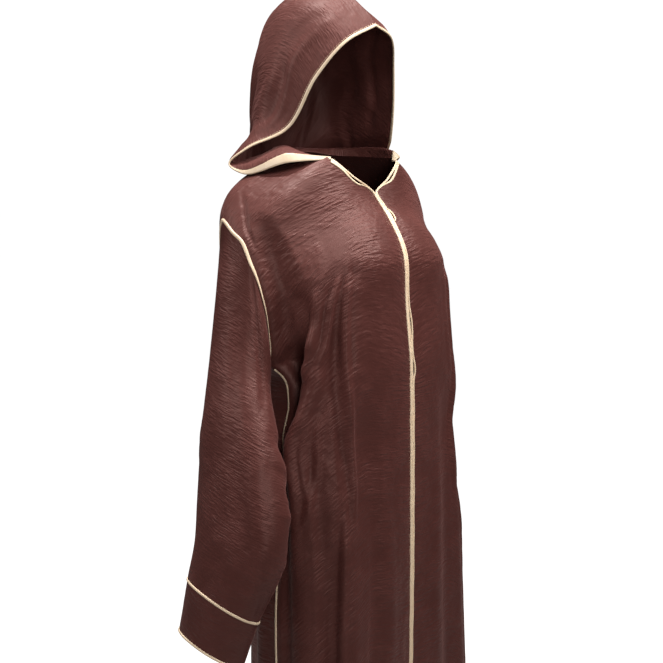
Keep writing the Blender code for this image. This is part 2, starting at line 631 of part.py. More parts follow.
def neck_seam(front, back, shares):
    """Points at the shares along one side's neck seam, from its corner to the middle of the back."""
    points = np.vstack([front[NECK_ROWS::-1, 0], back[1:NECK_ROWS + 1, 0]])
    along = np.concatenate([[0], np.cumsum(np.linalg.norm(np.diff(points, axis=0), axis=1))])
    return np.stack([np.interp(shares * along[-1], along, column) for column in points.T], axis=1)


def make_hood(side, label, arches, front, back):
    """Half a hood and the binding on its face edge."""
    shares = hood_shares()
    neck = neck_seam(front[0], back[0], shares)
    neck[:, 2] += HOOD_LIFT
    mirror = np.array([side, 1, 1])
    arch_points = hood_surface(arches, neck * mirror, shares)
    facing = grid_facing(arch_points)
    if np.sum(facing[:, 4] * (arch_points[:, 4] - np.array([0, 0.02, 0.1]))) < 0:
        facing = -facing
    facing[:, 0, 0] = 0
    facing[-1, :, 0] = 0
    facing = unit(facing)
    facing[:, -1] = facing[:, -2]
    arch_points, facing = arch_points * mirror, facing * mirror
    arch_points[:, 0] += square_way(arch_points[:, 0], arch_points[:, 1]) * HALF_GAP
    arch_points[-1, :, 0] = side * HALF_GAP
    backwards = unit(arch_points[1] - arch_points[0])
    places = [np.linspace(i, i + 1, steps + 1)[:-1] for i, steps in enumerate(HOOD_STEPS)]
    places = np.concatenate(places + [[len(HOOD_STEPS)]])
    width = np.interp(places, range(len(HOOD_TRIM)), HOOD_TRIM)[:, None]
    strip(f"hood_trim_{label}", arch_points[0], backwards, facing[0], 0, width)
    arch_points[0] += backwards * (width + SEAM_GAP)
    wall(f"hood_{label}", arch_points, facing, grid_faces(*arch_points.shape[:2]), CLOTH, BROWN)


def make_throat_loop():
    """A bow of round cord on the left front, standing just off the cloth, both ends beside the trim."""
    turn = np.linspace(0, math.pi, LOOP_POINTS)
    outwards = FRONT_TRIM + 2 * CLOSED_FRONT_X + LOOP_RADIUS + LOOP_REACH * np.sin(turn)
    levels = LOOP_LEVEL + LOOP_HALF_HEIGHT * np.cos(turn)
    keys = [row[1] for row in FRONT_SECTIONS]
    centre = []
    for level, reach in zip(levels, outwards):
        edge, chest = (curve_through(keys, [row[i] for row in FRONT_SECTIONS], [level])[0] for i in (2, 3))
        shares = np.array([0, 1, 2]) * reach / (3 * (chest[0] - edge[0])) / 2
        patch = panel_surface(FRONT_SECTIONS, np.array([level - 0.01, level, level + 0.01]), shares)
        normal = facing_out(patch, grid_facing(patch))[1, 2]
        centre.append(patch[1, 2] + normal * (CLOTH / 2 + SEAM_GAP + 0.0006 + LOOP_RADIUS))
    centre = np.array(centre)
    along = unit(np.gradient(centre, axis=0))
    first = unit(np.cross(along, [0, 1, 0]))
    second = np.cross(along, first)
    around = np.linspace(0, 2 * math.pi, LOOP_SIDES, endpoint=False)
    rings = centre[:, None] + LOOP_RADIUS * (
        np.cos(around)[None, :, None] * first[:, None] + np.sin(around)[None, :, None] * second[:, None]
    )
    faces = grid_faces(LOOP_POINTS, LOOP_SIDES, wrap=True)
    last = (LOOP_POINTS - 1) * LOOP_SIDES
    faces.append(tuple(reversed(range(LOOP_SIDES))))
    faces.append(tuple(range(last, last + LOOP_SIDES)))
    corners = rings.reshape(-1, 3)
    if signed_volume(corners, faces) < 0:
        faces = [tuple(reversed(f)) for f in faces]
    add_object("throat_loop", corners, faces, CREAM)


def build():
    for obj in list(bpy.data.objects):
        bpy.data.objects.remove(obj)
    halves = {}
    for side, label in ((RIGHT, "right"), (LEFT, "left")):
        front, back, sleeve = body_panels(side)
        halves[label] = (front, back)
        make_front(label, *front)
        make_sleeve(label, *sleeve)
    make_back([halves["right"][1], halves["left"][1]])
    make_hood(RIGHT, "right", HOOD_RIGHT, *halves["right"])
    make_hood(LEFT, "left", HOOD_LEFT, *halves["left"])
    make_throat_loop()


build()
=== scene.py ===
# %% [markdown]
# # A hooded abaya in crinkled satin
#
# The real robe is two long fronts, one back, two dropped sleeves with cuff bands and a hood cut in
# two halves. Cream satin piping runs along its seams and edges. Every piece of cloth here is a thin
# shell, drawn by a few named sections, with its creases pushed in and out of it. The fine
# crinkle of the satin is too small for the mesh, so it is left to the material.

# %% Load the frame that the pieces fit
import math

import bpy
import numpy as np
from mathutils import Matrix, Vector


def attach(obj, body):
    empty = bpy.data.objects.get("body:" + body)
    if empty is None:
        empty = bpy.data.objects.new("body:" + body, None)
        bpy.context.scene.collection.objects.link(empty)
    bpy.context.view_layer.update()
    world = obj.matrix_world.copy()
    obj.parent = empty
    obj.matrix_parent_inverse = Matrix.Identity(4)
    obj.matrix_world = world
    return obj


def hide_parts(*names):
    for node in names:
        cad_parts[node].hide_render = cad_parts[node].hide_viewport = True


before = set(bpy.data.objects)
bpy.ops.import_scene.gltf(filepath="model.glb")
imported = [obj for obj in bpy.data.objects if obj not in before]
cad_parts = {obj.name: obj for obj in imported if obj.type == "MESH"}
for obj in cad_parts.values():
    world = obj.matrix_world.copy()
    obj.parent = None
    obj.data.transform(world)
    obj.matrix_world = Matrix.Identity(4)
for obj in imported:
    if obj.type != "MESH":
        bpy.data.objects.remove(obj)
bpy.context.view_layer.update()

# %% [markdown]
# ## Sizes that the whole robe shares
#
# The cloth is drawn a little thinner than its solid. Piping sits in the seams, so each piece of
# cloth stops short of its seam by the width of the piping. Rows and columns say how fine each
# shell's mesh is: close enough for every crease that a hand could place, and no closer.

# %% Sizes of the cloth and the piping
RIGHT, LEFT = -1, 1
CLOTH = 0.0010
HALF_LAP = 0.00012
HOOD_BAND = (0.0053, 0.0053, 0.0053, 0.0053, 0.0046, 0.0036, 0.0085, 0.0175, 0.0062)
HOOD_LIFT = -0.0008
CLOSED_FRONT_X = 0.0004

UNDERARM_DOWN = 0.360
HEM_DOWN = 1.440
SIDE_TRIM_DOWN = 0.008

NECK_ROWS = 22
THROAT_ROWS = 18
CHEST_ROWS = 54
ARM_ROWS = NECK_ROWS + THROAT_ROWS + CHEST_ROWS
SKIRT_ROWS = 190
FRONT_COLUMNS = 111
BACK_COLUMNS = 81
SLEEVE_RINGS = 130
CUFF_RINGS = 24
HOOD_ARCHES = 96
HOOD_STEPS = (16, 16, 16, 14, 14, 12, 14, 10)
CUFF_START = 0.87
print("rows down a front:", ARM_ROWS + 1 + SKIRT_ROWS)

# %% [markdown]
# ## The sections of the robe
#
# A dressmaker thinks of a body in levels: shoulder, chest, waist, hip, hem. These tables do the
# same. Each row is one level, and the surface between the rows is a smooth curve. That is far
# easier to correct than a sculpted mesh: one number moves one place on the robe.

# %% Armhole, fronts, back and side seam
ARMHOLE = [
    # degrees round it (0 its top, 180 its foot, minus behind), x, y, z
    (-180, 0.188, -0.038, -0.3365),
    (-160, 0.185, 0.006, -0.314),
    (-130, 0.182, 0.048, -0.256),
    (-90, 0.185, 0.064, -0.190),
    (-45, 0.198, 0.057, -0.132),
    (-18, 0.215, 0.038, -0.110),
    (0, 0.226, 0.022, -0.104),
    (22, 0.234, -0.007, -0.1225),
    (44, 0.234, -0.029, -0.139),
    (66, 0.229, -0.040, -0.170),
    (90, 0.222, -0.047, -0.206),
    (115, 0.213, -0.052, -0.246),
    (140, 0.204, -0.0505, -0.284),
    (160, 0.1965, -0.0475, -0.3135),
    (180, 0.188, -0.038, -0.3365),
]

FRONT_SECTIONS = [
    # name, down, edge, chest, flank, armhole degrees
    ("shoulder seam", 0.0, (0.088, 0.000, -0.002), (0.134, 0.004, -0.030), (0.216, 0.018, -0.044), 0),
    ("side of neck", 0.038, (0.093, -0.037, -0.004), (0.136, -0.044, -0.028), (0.204, -0.030, -0.062), 22),
    ("neck corner", 0.080, (0.084, -0.079, -0.010), (0.126, -0.086, -0.032), (0.195, -0.060, -0.082), 44),
    ("throat", 0.116, (0.044, -0.0935, -0.039), (0.100, -0.112, -0.054), (0.180, -0.080, -0.110), 64),
    ("foot of throat", 0.155, (0.000, -0.100, -0.066), (0.076, -0.145, -0.084),
     (0.178, -0.106, -0.140), 84),
    ("upper chest", 0.198, (0.000, -0.133, -0.108), (0.078, -0.176, -0.118), (0.176, -0.134, -0.172), 104),
    ("bust", 0.248, (0.000, -0.161, -0.162), (0.082, -0.198, -0.166), (0.172, -0.146, -0.206), 124),
    ("under bust", 0.310, (0.000, -0.168, -0.246), (0.086, -0.192, -0.250), (0.182, -0.156, -0.272), 150),
    ("underarm", UNDERARM_DOWN, (0.000, -0.177, -0.325), (0.090, -0.194, -0.327),
     (0.192, -0.165, -0.330), 180),
    ("below arm", 0.420, (0.000, -0.179, -0.389), (0.094, -0.195, -0.389), (0.226, -0.146, -0.390), None),
    ("waist", 0.480, (0.000, -0.180, -0.450), (0.096, -0.196, -0.450), (0.262, -0.118, -0.450), None),
    ("top of hip", 0.580, (0.000, -0.1805, -0.552), (0.098, -0.198, -0.552), (0.256, -0.142, -0.552), None),
    ("hip", 0.680, (0.000, -0.181, -0.655), (0.100, -0.200, -0.655), (0.234, -0.168, -0.655), None),
    ("knee", 0.930, (0.000, -0.180, -0.910), (0.104, -0.202, -0.910), (0.238, -0.184, -0.910), None),
    ("hem", HEM_DOWN, (0.000, -0.186, -1.420), (0.115, -0.208, -1.420), (0.264, -0.190, -1.420), None),
]

BACK_SECTIONS = [
    # name, down, edge, chest, flank, armhole degrees
    ("shoulder seam", 0.0, (0.088, 0.000, -0.002), (0.134, 0.004, -0.030), (0.216, 0.018, -0.044), 0),
    ("nape side", 0.040, (0.066, 0.038, 0.000), (0.126, 0.048, -0.028), (0.208, 0.048, -0.048), -18),
    ("nape", 0.085, (0.000, 0.060, 0.004), (0.084, 0.080, -0.022), (0.194, 0.082, -0.066), -42),
    ("shoulder blade", 0.150, (0.000, 0.092, -0.065), (0.086, 0.108, -0.080), (0.168, 0.104, -0.136), -76),
    ("upper back", 0.240, (0.000, 0.104, -0.160), (0.088, 0.116, -0.170), (0.168, 0.100, -0.210), -120),
    ("underarm", UNDERARM_DOWN, (0.000, 0.100, -0.325), (0.088, 0.108, -0.327),
     (0.178, 0.074, -0.330), -180),
    ("waist", 0.480, (0.000, 0.092, -0.450), (0.088, 0.098, -0.450), (0.190, 0.066, -0.450), None),
    ("hip", 0.680, (0.000, 0.084, -0.655), (0.090, 0.086, -0.655), (0.200, 0.038, -0.655), None),
    ("knee", 0.930, (0.000, 0.082, -0.910), (0.096, 0.082, -0.910), (0.208, 0.024, -0.910), None),
    ("hem", HEM_DOWN, (0.000, 0.088, -1.420), (0.110, 0.094, -1.420), (0.248, 0.040, -1.420), None),
]

SIDE_SEAM = [
    # down, x, y, z
    (UNDERARM_DOWN, 0.188, -0.038, -0.3365),
    (0.385, 0.174, -0.055, -0.356),
    (0.420, 0.168, -0.060, -0.392),
    (0.480, 0.178, -0.058, -0.450),
    (0.570, 0.186, -0.078, -0.545),
    (0.680, 0.198, -0.064, -0.655),
    (0.930, 0.208, -0.068, -0.910),
    (HEM_DOWN, 0.236, -0.070, -1.420),
]
print("levels of the front:", [row[0] for row in FRONT_SECTIONS])

# %% [markdown]
# ## The rings of a sleeve and the arches of the hood
#
# A sleeve is a tube, so its table is one of rings. The hood is a half dome that falls into a loose
# fold on the shoulder, so its table is one of arches that run from the crown seam to the neck.

# %% Sleeve rings and hood arches
SLEEVE_SECTIONS = [
    # name, along, outer, inner, across, swing, left
    ("cap", 0.07, (0.244, -0.001, -0.182), (0.206, -0.035, -0.350), 0.043, 0, 0.003),
    ("biceps", 0.17, (0.262, -0.005, -0.286), (0.207, -0.035, -0.386), 0.046, 0, 0.022),
    ("elbow", 0.34, (0.296, -0.036, -0.423), (0.218, -0.044, -0.449), 0.070, 4, 0.062),
    ("forearm", 0.53, (0.314, -0.057, -0.533), (0.229, -0.059, -0.537), 0.086, 9, 0.092),
    ("wrist", 0.72, (0.326, -0.057, -0.606), (0.240, -0.057, -0.624), 0.084, 15, 0.100),
    ("cuff seam", 0.87, (0.334, -0.038, -0.675), (0.258, -0.038, -0.705), 0.069, 19, 0.090),
    ("sleeve hem", 1.00, (0.339, -0.016, -0.760), (0.265, -0.016, -0.784), 0.061, 18, 0.080),
]

HOOD_RIGHT = [
    # name, along, crown, brow, temple, cheek, droop, fold, lap, throat
    ("face edge", 0.00, (0, -0.103, 0.203), (0.050, -0.083, 0.175), (0.082, -0.049, 0.121),
     (0.107, -0.006, 0.037), (0.150, 0.0445, 0.0055), (0.168, 0.066, -0.0175), (0.167, 0.039, -0.0335),
     (0.148, -0.042, -0.0165)),
    ("binding", 0.09, (0, -0.090, 0.221), (0.0525, -0.070, 0.191), (0.086, -0.038, 0.133),
     (0.110, 0.006, 0.046), (0.142, 0.053, 0.014), (0.157, 0.076, -0.012), (0.159, 0.045, -0.0205),
     (0.140, -0.037, -0.0015)),
    ("behind edge", 0.20, (0, -0.055, 0.252), (0.056, -0.040, 0.222), (0.094, -0.012, 0.155),
     (0.112, 0.028, 0.066), (0.129, 0.062, 0.024), (0.142, 0.086, -0.012), (0.132, 0.054, -0.010),
     (0.112, -0.010, 0.009)),
    ("crown", 0.40, (0, 0.012, 0.276), (0.060, 0.026, 0.244), (0.092, 0.044, 0.172), (0.102, 0.060, 0.088),
     (0.106, 0.074, 0.030), (0.120, 0.096, -0.014), (0.104, 0.062, -0.004), (0.088, 0.016, 0.012)),
    ("peak", 0.60, (0, 0.084, 0.268), (0.050, 0.084, 0.232), (0.078, 0.088, 0.160), (0.086, 0.092, 0.084),
     (0.086, 0.098, 0.028), (0.088, 0.110, -0.018), (0.078, 0.082, -0.006), (0.068, 0.050, 0.012)),
    ("back of crown", 0.80, (0, 0.128, 0.222), (0.034, 0.122, 0.186), (0.050, 0.120, 0.128),
     (0.058, 0.118, 0.070), (0.060, 0.120, 0.018), (0.054, 0.130, -0.020), (0.046, 0.104, -0.008),
     (0.040, 0.078, 0.012)),
    ("middle of back", 1.00, (0, 0.142, 0.150), (0, 0.146, 0.120), (0, 0.148, 0.086), (0, 0.148, 0.050),
     (0, 0.146, 0.010), (0, 0.142, -0.022), (0, 0.116, -0.008), (0, 0.086, 0.012)),
]
HOOD_LEFT_EDGE = [
    # name, along, crown, brow, temple, cheek, droop, fold, lap, throat
    ("face edge", 0.00, (0, -0.103, 0.203), (0.050, -0.096, 0.188), (0.086, -0.074, 0.144),
     (0.096, -0.066, 0.070), (0.106, -0.054, 0.026), (0.130, -0.030, -0.002), (0.122, -0.052, -0.010),
     (0.102, -0.076, -0.004)),
    ("binding", 0.09, (0, -0.090, 0.221), (0.0525, -0.083, 0.204), (0.090, -0.060, 0.154),
     (0.100, -0.052, 0.078), (0.103, -0.043, 0.036), (0.122, -0.019, 0.002), (0.110, -0.045, -0.001),
     (0.092, -0.066, 0.006)),
    ("behind edge", 0.20, (0, -0.055, 0.252), (0.056, -0.046, 0.224), (0.092, -0.030, 0.158),
     (0.106, -0.012, 0.084), (0.108, 0.004, 0.034), (0.126, 0.034, -0.002), (0.110, 0.004, 0.002),
     (0.092, -0.030, 0.012)),
]
HOOD_LEFT = HOOD_LEFT_EDGE + HOOD_RIGHT[3:]
print("rings of a sleeve:", len(SLEEVE_SECTIONS), "and arches of a hood half:", len(HOOD_RIGHT))

# %% [markdown]
# ## Curves, hills and normals
#
# A few small helpers do nearly all of the drawing. One runs a smooth curve through a table, one makes
# a soft hill for a fold, one fades from nothing to full, and one finds the way a surface faces. They
# work on whole grids of points at once, which is many times faster than moving vertices one by one.


# %% A smooth curve through a table
def curve_through(keys, values, at):
    """Points at the places in at, on a smooth curve through values at keys."""
    keys = np.asarray(keys, float)
    values = np.asarray(values, float)
    at = np.clip(np.asarray(at, float), keys[0], keys[-1])
    steps = np.diff(keys)
    slopes = np.diff(values, axis=0) / steps[:, None]
    tangents = np.empty_like(values)
    tangents[0], tangents[-1] = slopes[0], slopes[-1]
    near, far = steps[:-1, None], steps[1:, None]
    tangents[1:-1] = (slopes[:-1] * far + slopes[1:] * near) / (near + far)
    span = np.clip(np.searchsorted(keys, at, side="right") - 1, 0, len(keys) - 2)
    h = steps[span][:, None]
    u = ((at - keys[span]) / steps[span])[:, None]
    return (
        (2 * u**3 - 3 * u**2 + 1) * values[span]
        + (u**3 - 2 * u**2 + u) * h * tangents[span]
        + (3 * u**2 - 2 * u**3) * values[span + 1]
        + (u**3 - u**2) * h * tangents[span + 1]
    )


print("half way along a curve from 0 to 1:", float(curve_through([0, 1], [[0], [1]], [0.5])[0, 0]))


# %% Hills, fades and runs along a line
def unit(vectors):
    """The vectors at length one."""
    lengths = np.linalg.norm(vectors, axis=-1, keepdims=True)
    return vectors / np.maximum(lengths, 1e-12)


def bump(x):
    """A smooth hill of height one that starts and ends at -1 and 1."""
    return np.clip(1 - np.asarray(x, float) ** 2, 0, 1) ** 2


def ease(x, start, end):
    """Zero before start, one after end, smooth between."""
    u = np.clip((np.asarray(x, float) - start) / (end - start), 0, 1)
    return u * u * (3 - 2 * u)


def squarish(wave, power):
    """A sine or cosine bent so that a ring drawn with it is squarer (power under 1) than a circle."""
    return np.sign(wave) * np.abs(wave) ** power


def line_runs(points):
    """How far along a line each of its points lies, in metres."""
    return np.concatenate([[0], np.cumsum(np.linalg.norm(np.diff(points, axis=0), axis=1))])


def run_lengths(points, axis):
    """How far along its row or column each point of a grid lies, in metres."""
    steps = np.linalg.norm(np.diff(points, axis=axis), axis=2)
    start = np.zeros_like(np.take(steps, [0], axis=axis))
    return np.concatenate([start, np.cumsum(steps, axis=axis)], axis=axis)


def values_at(places, keys, values):
    """Rows between the rows of values, which stand at keys, on straight lines from each to the next."""
    return np.array([np.interp(places, keys, column) for column in values.T]).T


print("a hill at its top and foot:", float(bump(0)), float(bump(1)))


# %% Normals and smooth random hills
def grid_facing(points, wrap=False):
    """Unit normals of a grid of points, from the run of its rows and columns."""
    if wrap:
        along = np.roll(points, -1, axis=1) - np.roll(points, 1, axis=1)
    else:
        along = np.gradient(points, axis=1)
    return unit(np.cross(along, np.gradient(points, axis=0)))


def facing_out(points, facing, centre=(0, -0.05)):
    """Turns the normals so that they point away from the body's middle line."""
    out = points[..., :2] - np.array(centre)
    return -facing if np.sum(out * facing[..., :2]) < 0 else facing


LATTICE = 97


def soft_noise(seed, down, across, tall, wide):
    """Smooth random hills between -1 and 1 at the places down and across, in metres, tall by wide."""
    lattice = np.random.default_rng(seed).uniform(-1, 1, (LATTICE, LATTICE))
    r, c = np.broadcast_arrays(down / tall, across / wide)
    r0, c0 = np.floor(r).astype(int), np.floor(c).astype(int)
    fr, fc = r - r0, c - c0
    fr, fc = fr * fr * (3 - 2 * fr), fc * fc * (3 - 2 * fc)

    def corner(dr, dc):
        return lattice[(r0 + dr) % LATTICE, (c0 + dc) % LATTICE]

    top = corner(0, 0) * (1 - fc) + corner(0, 1) * fc
    foot = corner(1, 0) * (1 - fc) + corner(1, 1) * fc
    return top * (1 - fr) + foot * fr


print("one random hill:", round(float(soft_noise(1, 0.05, 0.05, 0.1, 0.1)), 3))

# %% [markdown]
# ## Creases placed one by one
#
# Satin this soft hangs in long flutes below the bust, pulls into slanting folds beside the arm, and
# breaks over the elbow. Each crease is one row in a table: where it starts and ends on its panel,
# how wide it is and how deep. A minus depth is a trough.

# %% Folds of the fronts, the back, the sleeves and the hood
FRONT_FOLDS = [
    # name, top, foot, across top, across foot, width top, width foot, depth top, depth foot
    ("arm crease", 0.06, 0.44, 0.84, 0.93, 0.12, 0.11, -0.004, -0.021),
    ("valley by the arm", 0.04, 0.36, 0.87, 0.89, 0.13, 0.11, -0.004, -0.007),
    ("crease lip", 0.16, 0.60, 0.67, 0.87, 0.10, 0.09, 0.002, 0.010),
    ("flank crease", 0.56, 1.44, 0.92, 0.91, 0.05, 0.06, -0.005, -0.010),
    ("bust fall", 0.24, 1.44, 0.47, 0.50, 0.08, 0.11, 0.002, 0.012),
    ("side of fall", 0.26, 1.44, 0.63, 0.66, 0.09, 0.10, -0.003, -0.012),
    ("flank ridge", 0.40, 1.44, 0.81, 0.81, 0.08, 0.09, 0.001, 0.008),
    ("inner trough", 0.40, 1.44, 0.32, 0.33, 0.08, 0.09, -0.002, -0.010),
    ("front swell", 0.60, 1.44, 0.17, 0.17, 0.08, 0.09, 0.001, 0.008),
]
BACK_FOLDS = [
    ("blade fall", 0.20, 1.44, 0.46, 0.44, 0.12, 0.13, 0.004, 0.016),
    ("side trough", 0.24, 1.44, 0.70, 0.66, 0.10, 0.12, -0.004, -0.015),
    ("side ridge", 0.42, 1.44, 0.88, 0.86, 0.09, 0.10, 0.002, 0.010),
    ("inner trough", 0.30, 1.44, 0.22, 0.22, 0.10, 0.12, -0.003, -0.013),
    ("middle ridge", 0.36, 1.44, 0.00, 0.00, 0.08, 0.11, 0.002, 0.012),
]

# Finer creases. Places are (down in metres, across as a share of the panel).
FRONT_CREASES = [
    # name, from, to, half width in metres, depth in metres, side (both, right or left)
    ("shoulder fall", (0.008, 0.72), (0.110, 0.955), 0.0036, -0.0026, "both"),
    ("edge of the bust", (0.210, 0.690), (0.236, 0.26), 0.012, 0.0009, "both"),
    ("under the bust", (0.246, 0.66), (0.264, 0.24), 0.012, -0.0016, "both"),
    ("steep wrinkle", (0.168, 0.785), (0.196, 0.845), 0.0030, 0.0009, "both"),
    ("steep wrinkle below", (0.180, 0.770), (0.212, 0.825), 0.0030, -0.0009, "both"),
    ("near fall", (0.246, 0.655), (0.430, 0.785), 0.0058, 0.0060, "both"),
    ("behind the near fall", (0.236, 0.735), (0.400, 0.865), 0.016, -0.0125, "both"),
    ("hollow by the underarm", (0.320, 0.800), (0.390, 0.800), 0.018, -0.0045, "both"),
    ("middle fall", (0.236, 0.520), (0.355, 0.640), 0.0054, 0.0056, "both"),
    ("beside the middle fall", (0.250, 0.570), (0.370, 0.690), 0.0065, -0.0026, "both"),
    ("crest of the fall", (0.236, 0.480), (0.600, 0.495), 0.0058, 0.0066, "both"),
    ("crest below it", (0.500, 0.500), (1.40, 0.590), 0.0065, 0.0056, "both"),
    ("beside the crest", (0.290, 0.535), (0.640, 0.552), 0.009, -0.0064, "both"),
    ("trough below it", (0.560, 0.556), (1.36, 0.655), 0.010, -0.0040, "both"),
    ("hip swell", (0.300, 0.690), (0.470, 0.700), 0.012, 0.0036, "right"),
    ("lower near ridge", (0.440, 0.625), (0.600, 0.770), 0.006, 0.0040, "both"),
    ("waist trough", (0.470, 0.60), (0.600, 0.82), 0.010, -0.0014, "right"),
    ("skirt flute", (0.520, 0.24), (1.43, 0.25), 0.012, 0.0026, "both"),
    ("skirt dent", (0.600, 0.36), (1.43, 0.37), 0.010, -0.0022, "right"),
    ("near dent", (0.560, 0.72), (1.43, 0.73), 0.010, -0.0024, "left"),
    ("short flute", (0.780, 0.08), (1.43, 0.09), 0.009, 0.0020, "both"),
    ("hem flute", (0.980, 0.58), (1.43, 0.60), 0.012, 0.0034, "both"),
]
BACK_CREASES = [
    ("blade drag", (0.150, 0.45), (0.310, 0.84), 0.010, 0.0020, "both"),
    ("blade trough", (0.180, 0.40), (0.340, 0.80), 0.009, -0.0022, "both"),
    ("yoke pull", (0.060, 0.30), (0.120, 0.72), 0.010, -0.0012, "right"),
    ("waist drag", (0.420, 0.36), (0.540, 0.80), 0.010, 0.0018, "left"),
    ("waist trough", (0.460, 0.34), (0.600, 0.72), 0.009, -0.0018, "right"),
    ("back flute", (0.460, 0.34), (1.43, 0.33), 0.011, 0.0032, "both"),
    ("flank flute", (0.560, 0.58), (1.43, 0.56), 0.010, -0.0030, "both"),
    ("middle dent", (0.640, 0.10), (1.43, 0.11), 0.010, -0.0026, "both"),
    ("hem flute", (0.900, 0.76), (1.43, 0.75), 0.012, 0.0030, "both"),
]
SLEEVE_CREASES = [
    # name, from, to as (along, turn in degrees), half width in metres, depth in metres
    ("cap fall", (0.02, 60), (0.30, 78), 0.009, -0.0020),
    ("inside elbow", (0.30, 96), (0.46, 150), 0.010, -0.0038),
    ("elbow lip", (0.35, 84), (0.50, 148), 0.010, 0.0030),
    ("second break", (0.44, 110), (0.60, 166), 0.011, -0.0036),
    ("second lip", (0.50, 96), (0.66, 160), 0.010, 0.0028),
    ("forearm break", (0.60, 120), (0.76, 174), 0.012, -0.0036),
    ("forearm lip", (0.66, 104), (0.80, 168), 0.010, 0.0028),
    ("outer fall", (0.10, 22), (0.80, 30), 0.012, -0.0016),
    ("front flute", (0.36, 58), (0.86, 64), 0.012, 0.0022),
    ("cuff tuck", (0.74, 84), (0.90, 86), 0.008, -0.0022),
    ("back elbow", (0.30, -60), (0.46, -128), 0.011, -0.0032),
    ("back lip", (0.34, -52), (0.52, -120), 0.010, 0.0026),
    ("back fall", (0.40, -96), (0.86, -84), 0.012, -0.0030),
    ("back break", (0.58, -110), (0.74, -160), 0.011, -0.0034),
]
HOOD_CREASES = [
    # name, from, to as (along, share of the arch), half width in metres, depth in metres
    ("crown ridge", (0.48, 0.02), (0.60, 0.36), 0.010, 0.0040),
    ("behind the ridge", (0.58, 0.02), (0.72, 0.30), 0.016, -0.0050),
    ("brow ridge", (0.17, 0.12), (0.20, 0.52), 0.008, 0.0022),
    ("brow trough", (0.24, 0.10), (0.27, 0.50), 0.012, -0.0030),
    ("temple break", (0.30, 0.30), (0.16, 0.50), 0.010, -0.0026),
    ("cheek fall", (0.36, 0.34), (0.30, 0.62), 0.011, 0.0028),
    ("neck fold", (0.40, 0.56), (0.24, 0.66), 0.010, -0.0030),
    ("back neck fold", (0.72, 0.44), (0.54, 0.60), 0.012, -0.0036),
    ("back swell", (0.80, 0.34), (0.66, 0.54), 0.012, 0.0030),
]
print("creases:", len(FRONT_CREASES) + len(BACK_CREASES) + len(SLEEVE_CREASES) + len(HOOD_CREASES))


# %% How deep a fold is at each point of a panel
# Metres above and below a fold's top over which it grows, and about its foot over which it dies away.
FOLD_GROWS = (-0.04, 0.10)
FOLD_ENDS = (-0.06, 0.16)


def fold_depths(folds, levels, across):
    """How far each point of a panel is pushed out by its long folds."""
    depth = np.zeros((len(levels), len(across)))
    for _, top, foot, at_top, at_foot, wide_top, wide_foot, deep_top, deep_foot in folds:
        share = np.clip((levels - top) / (foot - top), 0, 1)
        place = at_top + (at_foot - at_top) * share
        width = wide_top + (wide_foot - wide_top) * share
        height = deep_top + (deep_foot - deep_top) * share
        height = height * ease(levels, top + FOLD_GROWS[0], top + FOLD_GROWS[1])
        if foot < HEM_DOWN:
            height = height * (1 - ease(levels, foot + FOLD_ENDS[0], foot + FOLD_ENDS[1]))
        depth += height[:, None] * bump((across[None, :] - place[:, None]) / width[:, None])
    return depth


print("folds:", len(FRONT_FOLDS), "on each front and", len(BACK_FOLDS), "on each half of the back")

# %% How deep a crease is at each point
# A crease wanders aside by a share of its half width. Its ends taper over a share of its length.
WANDER = 0.7
WANDER_TURNS = 7.0
WANDER_START = 40
TAPERS = (0.18, 0.5)
TAPER_WIDTHS = 3.0
CREASE_SPREAD = 1.7


def crease_depth(down, across, start, end, half_width, depth):
    """One crease between two places, both in metres: a soft trough or ridge that fades at its ends."""
    start, end = np.array(start), np.array(end)
    run = end - start
    length = math.hypot(*run)
    share = ((down - start[0]) * run[0] + (across - start[1]) * run[1]) / length**2
    aside = ((down - start[0]) * run[1] - (across - start[1]) * run[0]) / length
    aside = aside + half_width * WANDER * np.sin(share * WANDER_TURNS + start[1] * WANDER_START)
    taper = min(TAPERS[1], max(TAPERS[0], TAPER_WIDTHS * half_width / length))
    fade = ease(share, -taper / 2, taper) * (1 - ease(share, 1 - taper, 1 + taper / 2))
    return depth * fade * bump(aside / (half_width * CREASE_SPREAD))


def creases_at(creases, first, second, spot):
    """All the creases of a table. first and second are places, and spot finds a row and column."""
    depth = np.zeros_like(first)
    for _, start, end, half_width, deep in creases:
        places = [(first[at], second[at]) for at in (spot(*start), spot(*end))]
        depth += crease_depth(first, second, *places, half_width, deep)
    return depth


middle_depth = crease_depth(0.5, 0.1, (0.0, 0.1), (1.0, 0.1), 0.01, 0.003)
print("a crease of 3 mm at its middle:", round(float(middle_depth), 5))

# %% [markdown]
# ## Panels and sleeves as surfaces
#
# The fronts and the back meet the sleeves at the armhole, so the three surfaces are drawn together
# from the same points on it. A panel's rows run across it, and a sleeve's rings run round it.


# %% The armhole and the levels of the rows
def armhole_at(angles):
    """Points of the armhole at angles in degrees."""
    table = np.array(ARMHOLE)
    return curve_through(table[:, 0], table[:, 1:], angles)


def levels_between(landmarks):
    """Levels of rows: landmarks is (level, rows to the next) pairs."""
    levels = [landmarks[0][0]]
    for (start, rows), (end, _) in zip(landmarks, landmarks[1:]):
        levels += list(np.linspace(start, end, rows + 1)[1:])
    return np.array(levels)


